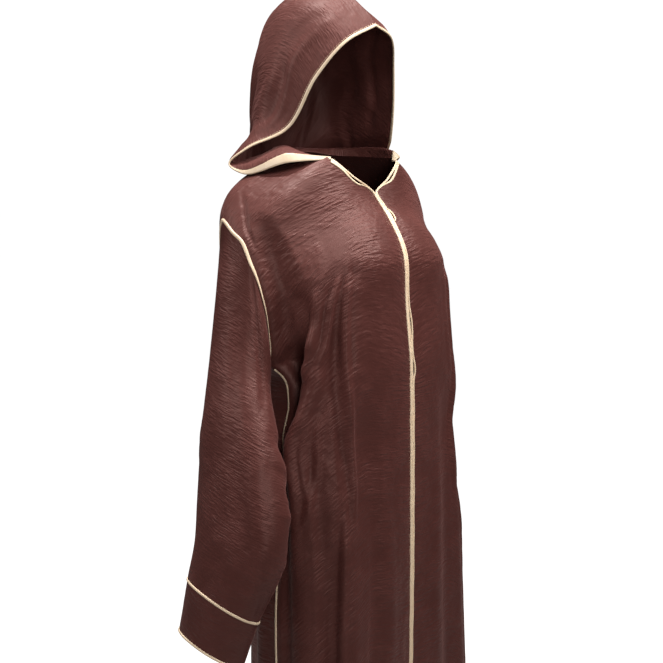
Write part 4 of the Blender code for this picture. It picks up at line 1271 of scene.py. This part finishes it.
def make_cream(name, shade):
    """Cream satin for piping and the hood's facing. shade darkens it, which on the facing is painted shade.
    """
    material, tree, shader, places = base_material(name)
    threads = place_group(tree, THREADS, places, Threads_a_metre=CREAM_THREADS)
    cloudy = noise_node(tree, places, *CREAM_CLOUDS)
    deep, pale = [tuple(shade * part for part in tone) for tone in (DEEP_CREAM, PALE_CREAM)]
    tree.links.new(blend_colours(tree, cloudy.outputs["Fac"], deep, pale), shader.inputs["Base Color"])
    puckers = noise_node(tree, places, *CREAM_PUCKERS)
    normal = bump_node(tree, puckers.outputs["Fac"], *PUCKER_RELIEF)
    normal = bump_node(tree, threads.outputs["Height"], *CREAM_RELIEF, normal)
    tree.links.new(normal, shader.inputs["Normal"])
    set_inputs(shader, {
        "Roughness": 0.42,
        "Specular IOR Level": 0.5,
        "Sheen Weight": SHEEN,
        "Sheen Tint": (1.0, 0.88, 0.74, 1),
    })
    return material


BODY_SATIN = make_satin("brown satin of the back", 0.04)
FRONT_SATIN = make_satin("brown satin of the fronts", 0.04, side_pull=0.85, puckers=0.9)
SLEEVE_SATIN = make_satin(
    "brown satin of the sleeves", -0.40, depth=0.0016, crests=300.0, ratio=0.22
)
HOOD_SATIN = make_satin(
    "brown satin of the hood", 0.05, depth=0.0016, crests=250.0, ratio=0.26, dull=0.52
)
CREAM = make_cream("cream satin piping", 1.0)
# The hood's facing is the piping's cream darkened to 0.68 of it: painted shade.
SHADED_FACING_CREAM = make_cream("cream satin of the hood's facing, darkened as painted shade", 0.68)
print("finishes:", [material.name for material in bpy.data.materials if "satin" in material.name])

# %% [markdown]
# ## Pieces on the robe
#
# Each piece of cloth was cut flat before it was sewn. Here each piece takes the place of its solid on
# the robe, and the area of its outer face is printed.


def dress(obj, node):
    """Puts a piece on the robe in place of its solid, and hides the solid."""
    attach(obj, "root")
    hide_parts(node)
    return obj


def area_of(obj):
    """Area of a shell's outer face: half of all its faces, in square metres."""
    return sum(p.area for p in obj.data.polygons) / 2


# %% [markdown]
# ## Fronts with their doubled cord
#
# Each front is edged with a cream cord laid double, so four strands lie side by side down the
# middle of the robe. The strands part a little at the throat and below the bust, as loose sewing
# does. A strand is a curve that keeps its own small wander beside its neighbour.

# %% The doubled cord of one front
PIPING_LIFT = 0.0006
TUCK = 0.0009
STRAND = 0.0027
STRAND_HEIGHT = 0.0028
THROAT_STRAND = 0.0046
THROAT_ENDS = (0.085, 0.150)
# The share by which a strand thins between two levels, and its sway in metres with its pace.
STRAND_THINS = (0.18, 0.62, 0.90)
STRAND_WAVE = (0.00035, 95)
STRAND_LIFT = 0.0009
# On the slope of the chest the cord is laid nearly level, and stands a little higher.
LEVEL_CORD = 0.80
LEVEL_LIFT = 0.0022
LEVEL_STARTS = (0.110, 0.150)
LEVEL_ENDS = (0.230, 0.300)
STRAND_WANDERS = [
    # name, side, strand (0 at the edge), middle in metres down, half length, sideways
    ("parted at the throat", RIGHT, 1, 0.118, 0.022, 0.0060),
    ("throat ripple", LEFT, 1, 0.112, 0.020, 0.0022),
    ("below the bust", LEFT, 1, 0.330, 0.022, 0.0026),
    ("below the bust again", LEFT, 1, 0.380, 0.020, 0.0030),
    ("at the waist", RIGHT, 1, 0.470, 0.050, 0.0008),
]


def join_pieces(name, pieces):
    """Several meshes as one object."""
    bpy.ops.object.select_all(action="DESELECT")
    for piece in pieces:
        piece.select_set(True)
    bpy.context.view_layer.objects.active = pieces[0]
    bpy.ops.object.join()
    pieces[0].name = name
    return pieces[0]


def strand_place(side, number, levels):
    """How far in from the edge one strand lies at each level, and how thick it is there."""
    thick = STRAND + (THROAT_STRAND - STRAND) * (1 - ease(levels, *THROAT_ENDS))
    thins, *where_thins = STRAND_THINS
    thick = thick * (1 - thins * ease(levels, *where_thins))
    sway, turns = STRAND_WAVE
    aside = thick * (0.5 + number) + sway * np.sin(levels * turns + number * 2 + side)
    for _, where, strand, middle, half_length, sideways in STRAND_WANDERS:
        if where == side and strand == number:
            aside = aside + sideways * bump((levels - middle) / half_length)
    return aside, thick


def make_strands(side, label, edge, inwards, facing, levels):
    """The doubled cord on one front's edge, as one piece of two strands."""
    flat = LEVEL_CORD * ease(levels, *LEVEL_STARTS) * (1 - ease(levels, *LEVEL_ENDS))
    inwards = unit(inwards * (1 - flat)[:, None] + np.array([side, 0, 0]) * flat[:, None])
    down = unit(np.gradient(edge, axis=0))
    turned = unit(np.cross(down, inwards))
    facing = turned * np.sign(turned @ np.array([0, -1, 1]))[:, None]
    strands = []
    for number in (0, 1):
        aside, thick = strand_place(side, number, levels)
        lift = STRAND_LIFT + LEVEL_LIFT * flat
        centre = edge + inwards * aside[:, None] + facing * lift[:, None]
        name = f"cord_{number}_{label}"
        strands.append(cord_on(name, centre, facing, inwards, thick, STRAND_HEIGHT, CREAM))
    return join_pieces(f"front_cord_{label}", strands)


print("strands at the hem:", round(float(strand_place(RIGHT, 0, HEM_DOWN)[1]) * 1000, 2), "mm thick")

# %% [markdown]
# ## The cloth of the fronts
#
# Cloth makes room for the cord on its edge and for the piping in its side seam. The rows of a front
# fall away from the middle of the chest. Beside the cord the crinkle is turned up against them, so
# that it lies nearly level there, and this turn fades below the bust.

# %% Fronts
SIDE_PIPING = 0.0046
SIDE_PIPING_HEIGHT = 0.0026
SIDE_ROOM_GROWS = 0.012
CORD_ROOM_GROWS = (-0.006, 0.004)
CRINKLE_RISE = 0.32
RISE_REACH = 0.12
RISE_FADES = 0.8
RISE_LEVELS = (0.28, 0.46)


def side_piping(label, points, facing):
    """The piping in one side seam. points and facing start at the seam."""
    rows = slice(ARM_ROWS + 1, None)
    edge, out = points[rows, 0].copy(), facing[rows, 0]
    inwards = square_way(edge, points[rows, 3])
    middle = edge + inwards * (SIDE_PIPING / 2) + out * PIPING_LIFT
    name = f"side_piping_{label}"
    piping = cord_on(name, middle, out, inwards, SIDE_PIPING, SIDE_PIPING_HEIGHT, CREAM)
    return dress(piping, f"side_trim_{label}")


def make_front(side, label, points, facing, places):
    """A front, the doubled cord on its edge and the piping in its side seam."""
    points, facing = points.copy(), facing.copy()
    across, down = [p.copy() for p in places]
    rise = CRINKLE_RISE * (1 - RISE_FADES * ease(FRONT_LEVELS, *RISE_LEVELS))[:, None]
    places = [across, down + rise * RISE_REACH * np.tanh(np.abs(across) / RISE_REACH)]
    rows = slice(NECK_ROWS, None)
    edge = points[rows, 0].copy()
    inwards = square_way(edge, points[rows, 3])
    cord = make_strands(side, label, edge, inwards, facing[rows, 0], FRONT_LEVELS[rows])
    dress(cord, f"front_trim_{label}")
    aside, thick = strand_place(side, 1, FRONT_LEVELS)
    grows = [FRONT_LEVELS[NECK_ROWS] + step for step in CORD_ROOM_GROWS]
    tuck(points, facing, places, (aside + thick / 2 - TUCK) * ease(FRONT_LEVELS, *grows))

    from_seam = [grid[:, ::-1] for grid in (points, facing)]
    piping = side_piping(label, *from_seam)
    grows = (UNDERARM_DOWN, UNDERARM_DOWN + SIDE_ROOM_GROWS)
    room = (SIDE_PIPING - TUCK) * ease(FRONT_LEVELS, *grows)
    tuck(*from_seam, [p[:, ::-1] for p in places], room)
    faces = grid_faces(*points.shape[:2])
    cloth = shell(f"front_cloth_{label}", points, facing, faces, places, FRONT_SATIN)
    dress(cloth, f"front_{label}")
    return cloth, (points, facing)


fronts = {}
for side, label in ((RIGHT, "right"), (LEFT, "left")):
    cloth, fronts[label] = make_front(side, label, *panels[label][0])
    print(cloth.name, "takes", round(area_of(cloth), 3), "square metres")

# %% [markdown]
# ## The back in one piece
#
# The back has no seam down its middle. Its two halves come from one table, so they are joined point
# by point along the middle line, below the neckline.


# %% Back
def make_back(halves):
    """The back, cut in one piece: its two halves joined down the middle below the neckline."""
    points, facing, across, down = [], [], [], []
    for side, (half, half_facing, places) in zip((RIGHT, LEFT), halves):
        half_facing = half_facing.copy()
        half_facing[NECK_ROWS:, 0, 0] = 0
        points.append(half.reshape(-1, 3))
        facing.append(unit(half_facing).reshape(-1, 3))
        across.append(places[0].ravel() * side)
        down.append(places[1].ravel())
    rows, columns = half.shape[:2]
    count = rows * columns
    faces = grid_faces(rows, columns)
    faces = np.concatenate([faces, (faces + count)[:, ::-1]])
    middle = np.arange(NECK_ROWS, rows) * columns
    renumber = np.arange(2 * count)
    renumber[count + middle] = middle
    keep = np.setdiff1d(np.arange(2 * count), count + middle)
    new = np.zeros(2 * count, dtype=int)
    new[keep] = np.arange(len(keep))
    points, facing, across, down = (np.concatenate(v)[keep] for v in (points, facing, across, down))
    joined = new[renumber[faces]]
    cloth = shell("back_cloth", points, facing, joined, (across, down), BODY_SATIN)
    return dress(cloth, "back")


back_cloth = make_back([panels["right"][1], panels["left"][1]])
print(back_cloth.name, "takes", round(area_of(back_cloth), 3), "square metres")

# %% [markdown]
# ## Sleeves, cuff bands and their piping
#
# A dropped sleeve is a plain tube. Piping rolls round the armhole, round the seam above the cuff and
# round the sleeve's hem. The cuff band is a separate ring of cloth.

# %% Sleeves and cuffs
ARM_PIPING = 0.0058
ARM_PIPING_HEIGHT = 0.0042
CUFF_PIPING = 0.0042
CUFF_PIPING_HEIGHT = 0.0028
ROLL_STARTS = (62, 96)
ROLL_ENDS = (150, 172)
ROLL_OVER = 0.8
ROLL_LIFT = 0.0018


def ring_piping(name, ring, towards, facing, width, height, node, rolled=0.0):
    """Piping round one end of a tube of cloth. rolled is how far it has turned over onto the body."""
    way = square_way(ring, towards, wrap=True)
    rolled = np.broadcast_to(rolled, len(ring))[:, None]
    lift = PIPING_LIFT + ROLL_LIFT * rolled
    centre = ring + way * width * (0.5 - ROLL_OVER * rolled) + facing * lift
    piping = cord_on(name, centre, facing, way, width, height, CREAM, wrap=True)
    return dress(piping, node)


def tube_cloth(name, rings, facing, places, start_room, end_room, material):
    """A tube of cloth that makes room for piping at its two ends."""
    rings, facing = rings.copy(), facing.copy()
    places = [p.copy() for p in places]
    for room, way in ((start_room, 1), (end_room, -1)):
        columns = [grid[::way].swapaxes(0, 1) for grid in (rings, facing, *places)]
        tuck(*columns[:2], columns[2:], [room] * rings.shape[1], reach=6)
    faces = grid_faces(*rings.shape[:2], wrap=True)
    return shell(name, rings, facing, faces, places, material, seam=ARM_ROWS)


def make_sleeve(label, rings, facing, places):
    """A sleeve and its cuff band, with the piping at their ends."""
    parts = (slice(0, SLEEVE_RINGS + 1), slice(SLEEVE_RINGS, None))
    sleeve, cuff = [(rings[p], facing[p], [q[p] for q in places]) for p in parts]
    rolled = ease(ARM_TURNS, *ROLL_STARTS) * (1 - ease(ARM_TURNS, *ROLL_ENDS))
    arm = ring_piping(
        f"armhole_piping_{label}", rings[0], rings[3], facing[0], ARM_PIPING, ARM_PIPING_HEIGHT,
        f"armhole_trim_{label}", rolled,
    )
    wrist, hem = [
        ring_piping(
            f"{kind}_piping_{label}", cuff[0][end], cuff[0][next_in], cuff[1][end],
            CUFF_PIPING, CUFF_PIPING_HEIGHT, f"{kind}_trim_{label}",
        )
        for kind, end, next_in in (("cuff", 0, 3), ("sleeve_hem", -1, -4))
    ]
    cloth = tube_cloth(f"sleeve_cloth_{label}", *sleeve, ARM_PIPING - TUCK, 0.0, SLEEVE_SATIN)
    dress(cloth, f"sleeve_{label}")
    room = CUFF_PIPING - TUCK
    band = tube_cloth(f"cuff_cloth_{label}", *cuff, room, room, SLEEVE_SATIN)
    dress(band, f"cuff_{label}")
    return cloth, band


for label in ("right", "left"):
    cloth, band = make_sleeve(label, *panels[label][2])
    print(cloth.name, "takes", round(area_of(cloth), 3), "and its cuff", round(area_of(band), 3))

# %% [markdown]
# ## The hood
#
# Each half of the hood is a stack of arches that end on the neck seam. Its free edge carries a cream
# band, which widens into a facing where the edge turns over on the shoulder and runs to the throat.

# %% Surface of half a hood
ARCH_SPREAD = 0.8


def steps_between(keys):
    """Places from key to key along an arch, with the hood's count of steps in each span."""
    spans = zip(keys, keys[1:], HOOD_STEPS)
    places = [np.linspace(a, b, steps + 1)[:-1] for a, b, steps in spans]
    return np.concatenate(places + [keys[-1:]])


def hood_surface(arches, neck, shares):
    """Arches of half a hood at shares of its neck seam. neck is the row of points they end on."""
    controls = np.array([row[2:] for row in arches], float)
    keys = [row[1] for row in arches]
    flat = curve_through(keys, controls.reshape(len(arches), -1), shares)
    controls = flat.reshape(len(shares), -1, 3)
    surface = []
    for arch, foot in zip(controls, neck):
        points = np.vstack([arch, foot])
        lengths = np.linalg.norm(np.diff(points, axis=0), axis=1)
        along = np.concatenate([[0], np.cumsum(lengths**ARCH_SPREAD)])
        surface.append(curve_through(along, points, steps_between(along)))
    return np.array(surface)


def neck_seam(front, back, shares):
    """Points at the shares along one side's neck seam, from its corner to the middle of the back."""
    points = np.vstack([front[NECK_ROWS::-1, 0], back[1:NECK_ROWS + 1, 0]])
    along = line_runs(points)
    return values_at(shares * along[-1], along, points)


print("points of an arch:", sum(HOOD_STEPS) + 1)


# %% Creases of half a hood
HOOD_SEED = 71
HOOD_CRINKLE = 1.6
HOOD_FADE = 0.02
LAST_ARCHES = (1.0, 0.95)
OUTSIDE_COLUMN = 20
HOOD_MIDDLE = np.array([0, 0.02, 0.1])


def hood_panel(side, arches, neck, shares):
    """Half a hood, drawn for x > 0: its points, its normals and its places in metres."""
    points = hood_surface(arches, neck, shares)
    facing = grid_facing(points)
    if np.sum(facing[:, OUTSIDE_COLUMN] * (points[:, OUTSIDE_COLUMN] - HOOD_MIDDLE)) < 0:
        facing = -facing
    backwards, along = run_lengths(points, 0), run_lengths(points, 1)
    last_row, last_column = HOOD_ARCHES - 1, points.shape[1] - 1

    def spot(share, arch):
        return int(share * last_row), int(arch * last_column)

    fine = creases_at(HOOD_CREASES, backwards, along, spot)
    fine += HOOD_CRINKLE * crinkle(HOOD_SEED + side, along, backwards)
    fade = ease(backwards, 0.0, HOOD_FADE) * ease(along, 0.0, HOOD_FADE)
    fade = fade * ease(shares, *LAST_ARCHES)[:, None]
    fade = fade * ease(along[:, -1:] - along, 0.0, HOOD_FADE)
    points = points + facing * (fine * fade)[..., None]
    facing = grid_facing(points) * np.sign(np.sum(grid_facing(points) * facing))
    facing[:, 0, 0] = 0
    facing[-1, :, 0] = 0
    facing = unit(facing)
    facing[:, -1] = facing[:, -2]
    return points, facing, [backwards, along]


print("creases of half a hood:", len(HOOD_CREASES))

# %% [markdown]
# ## The hood's band and its stitches
#
# The band is one roll of cream satin, whose width follows a short table along the arch. A row of
# small hand stitches lies just behind it. The halves overlap by a hair's breadth at their middle
# seam, so that no light shows through it.

# %% Hood halves, their bands and the stitches beside them
HOOD_BAND_HEIGHT = 0.0028
HOOD_BAND_POWER = 0.62
STITCH_LINE = 0.0030


def make_hood(side, label, arches):
    """Half a hood, the band on its face edge and the row of stitches beside the band."""
    shares = np.linspace(0, 1, HOOD_ARCHES)
    neck = neck_seam(panels[label][0][0], panels[label][1][0], shares)
    neck[:, 2] += HOOD_LIFT
    mirror = np.array([side, 1, 1])
    points, facing, places = hood_panel(side, arches, neck * mirror, shares)
    points, facing = points * mirror, facing * mirror
    points[:, 0, 0] = -side * HALF_LAP
    points[-1, :, 0] = -side * HALF_LAP

    width = np.interp(steps_between(np.arange(len(HOOD_BAND))), range(len(HOOD_BAND)), HOOD_BAND)
    into = square_way(points[0], points[3])
    centre = points[0] + into * (width / 2)[:, None] + facing[0] * PIPING_LIFT
    band = cord_on(
        f"hood_band_{label}", centre, facing[0], into, width, HOOD_BAND_HEIGHT, SHADED_FACING_CREAM,
        power=HOOD_BAND_POWER,
    )
    dress(band, f"hood_trim_{label}")
    columns = [grid.swapaxes(0, 1) for grid in (points, facing, *places)]
    tuck(*columns[:2], columns[2:], width - TUCK, reach=8)
    faces = grid_faces(*points.shape[:2])
    cloth = shell(f"hood_cloth_{label}", points, facing, faces, places, HOOD_SATIN)
    sewing = make_stitches(f"hood_stitches_{label}", *line_at(*columns[:2], STITCH_LINE), CREAM)
    dress(sewing, f"hood_trim_{label}")
    dress(cloth, f"hood_{label}")
    return cloth


for side, label, arches in ((RIGHT, "right", HOOD_RIGHT), (LEFT, "left", HOOD_LEFT)):
    cloth = make_hood(side, label, arches)
    print(cloth.name, "takes", round(area_of(cloth), 3), "square metres")

# %% [markdown]
# ## The loop at the throat
#
# A short bow of round cord is sewn beside the left front's cord, just under the foot of the throat.
# It would take a small button or a bead. Both of its ends are caught under the cord.

# %% Throat loop
LOOP_RADIUS = 0.0012
LOOP_LEVEL = 0.190
LOOP_HALF_HEIGHT = 0.0092
LOOP_REACH = 0.0038
LOOP_ENDS = 0.25
LOOP_POINTS = 41


def make_throat_loop():
    """The bow of cord, standing just off the cloth of the left front."""
    turn = np.linspace(-LOOP_ENDS, math.pi + LOOP_ENDS, LOOP_POINTS)
    outwards = 2 * STRAND + 2 * CLOSED_FRONT_X + LOOP_RADIUS + LOOP_REACH * np.sin(turn)
    levels = LOOP_LEVEL + LOOP_HALF_HEIGHT * np.cos(turn)
    points, facing = fronts["left"]
    centre = []
    for level, reach in zip(levels, outwards):
        row = int(np.argmin(np.abs(FRONT_LEVELS - level)))
        rows = slice(row - 1, row + 2)
        line, normal = line_at(points[rows], facing[rows], max(reach - 2 * STRAND, 0.0))
        spot = values_at(level, FRONT_LEVELS[rows], line)
        centre.append(spot + normal[1] * (CLOTH / 2 + PIPING_LIFT + LOOP_RADIUS))
    centre = np.array(centre)
    along = unit(np.gradient(centre, axis=0))
    first = unit(np.cross(along, [0, 1, 0]))
    second = np.cross(along, first)
    thick = 2 * LOOP_RADIUS
    loop = cord_on("throat_bow", centre, second, first, thick, thick, CREAM, power=1.0)
    return dress(loop, "throat_loop")


throat_bow = make_throat_loop()
print("throat bow:", len(throat_bow.data.polygons), "faces")

# %% [markdown]
# ## Room, light and camera
#
# The robe hangs free, held at its shoulders, and a pale floor lies just under its hem. The strongest
# lamp hangs overhead, which leaves the cloth below the bust in shade. Two lamps stand near the chest,
# one lights the sleeve from behind, and a weak one fills. The room looks white but gives little light.

# %% Floor
FLOOR_Z = -1.445
FLOOR_REACH = 60.0
FLOOR_CORNERS = ((-1, -1), (1, -1), (1, 1), (-1, 1))

floor_mesh = bpy.data.meshes.new("floor")
floor_points = [(x * FLOOR_REACH, y * FLOOR_REACH, FLOOR_Z) for x, y in FLOOR_CORNERS]
floor_mesh.from_pydata(floor_points, [], [(0, 1, 2, 3)])
floor = bpy.data.objects.new("floor", floor_mesh)
bpy.context.scene.collection.objects.link(floor)
floor_paint = bpy.data.materials.new("pale floor")
floor_paint.use_nodes = True
floor_shader = floor_paint.node_tree.nodes["Principled BSDF"]
set_inputs(floor_shader, {
    "Base Color": (0.42, 0.41, 0.40, 1),
    "Roughness": 0.9,
    "Emission Color": (1, 1, 1, 1),
})
floor_seen = floor_paint.node_tree.nodes.new("ShaderNodeLightPath")
camera_sees = floor_seen.outputs["Is Camera Ray"]
floor_paint.node_tree.links.new(camera_sees, floor_shader.inputs["Emission Strength"])
floor_mesh.materials.append(floor_paint)
print("floor at", FLOOR_Z, "m")

# %% Lights and the white room
ROOM_LIGHT = 0.012
ROOM_SEEN = 1.05
WARM = (1.0, 0.965, 0.94)
LAMPS = [
    # name, place, target, size, watts
    ("overhead", (-0.05, 0.05, 2.30), (0, 0, -0.15), 0.20, 76),
    ("near right", (-0.50, -1.00, 0.90), (0, -0.15, -0.15), 0.50, 9),
    ("near left", (0.35, -0.80, 0.90), (0, -0.10, -0.15), 0.40, 18),
    ("behind the sleeve", (-1.70, 0.70, 0.90), (0, 0, -0.20), 0.90, 20),
    ("low front", (-1.30, -1.65, 0.10), (0, -0.10, -0.50), 0.60, 9.5),
]


def soft_light(name, place, target, size, watts):
    """A warm square area light at a place, turned to a target."""
    light = bpy.data.lights.new(name, "AREA")
    light.size = size
    light.energy = watts
    light.color = WARM
    lamp = bpy.data.objects.new(name, light)
    lamp.location = place
    lamp.rotation_mode = "QUATERNION"
    lamp.rotation_quaternion = (Vector(target) - Vector(place)).to_track_quat("-Z", "Y")
    bpy.context.scene.collection.objects.link(lamp)
    return lamp


for lamp in LAMPS:
    soft_light(*lamp)
room = bpy.data.worlds.new("white room")
bpy.context.scene.world = room
room.use_nodes = True
sky = room.node_tree.nodes["Background"]
sky.inputs["Color"].default_value = (1, 1, 1, 1)
seen = room.node_tree.nodes.new("ShaderNodeLightPath")
strength = room.node_tree.nodes.new("ShaderNodeMapRange")
set_inputs(strength, {"To Min": ROOM_LIGHT, "To Max": ROOM_SEEN})
room.node_tree.links.new(seen.outputs["Is Camera Ray"], strength.inputs["Value"])
room.node_tree.links.new(strength.outputs[0], sky.inputs["Strength"])
bpy.context.scene.view_settings.view_transform = "Standard"
print("lamps:", [name for name, *_ in LAMPS])

# %% Camera
CAMERA_AZIMUTH = -50.0
CAMERA_DISTANCE = 2.2
CAMERA_PITCH = 6.5
CAMERA_HEIGHT = -0.05
CAMERA_ASIDE = 0.0068
CAMERA_LENS = 70.26
CAMERA_SENSOR = 36

turned = math.radians(CAMERA_AZIMUTH)
tipped = math.radians(CAMERA_PITCH)
behind = Vector((math.sin(turned), -math.cos(turned), 0))
aside = Vector((math.cos(turned), math.sin(turned), 0))
camera = bpy.data.objects.new("camera", bpy.data.cameras.new("camera"))
bpy.context.scene.collection.objects.link(camera)
bpy.context.scene.camera = camera
camera.data.sensor_width = CAMERA_SENSOR
camera.data.lens = CAMERA_LENS
camera.location = behind * CAMERA_DISTANCE + aside * CAMERA_ASIDE + Vector((0, 0, CAMERA_HEIGHT))
camera.rotation_mode = "QUATERNION"
look = -behind * math.cos(tipped) + Vector((0, 0, -math.sin(tipped)))
camera.rotation_quaternion = look.to_track_quat("-Z", "Y")
print("camera at", [round(v, 3) for v in camera.location])
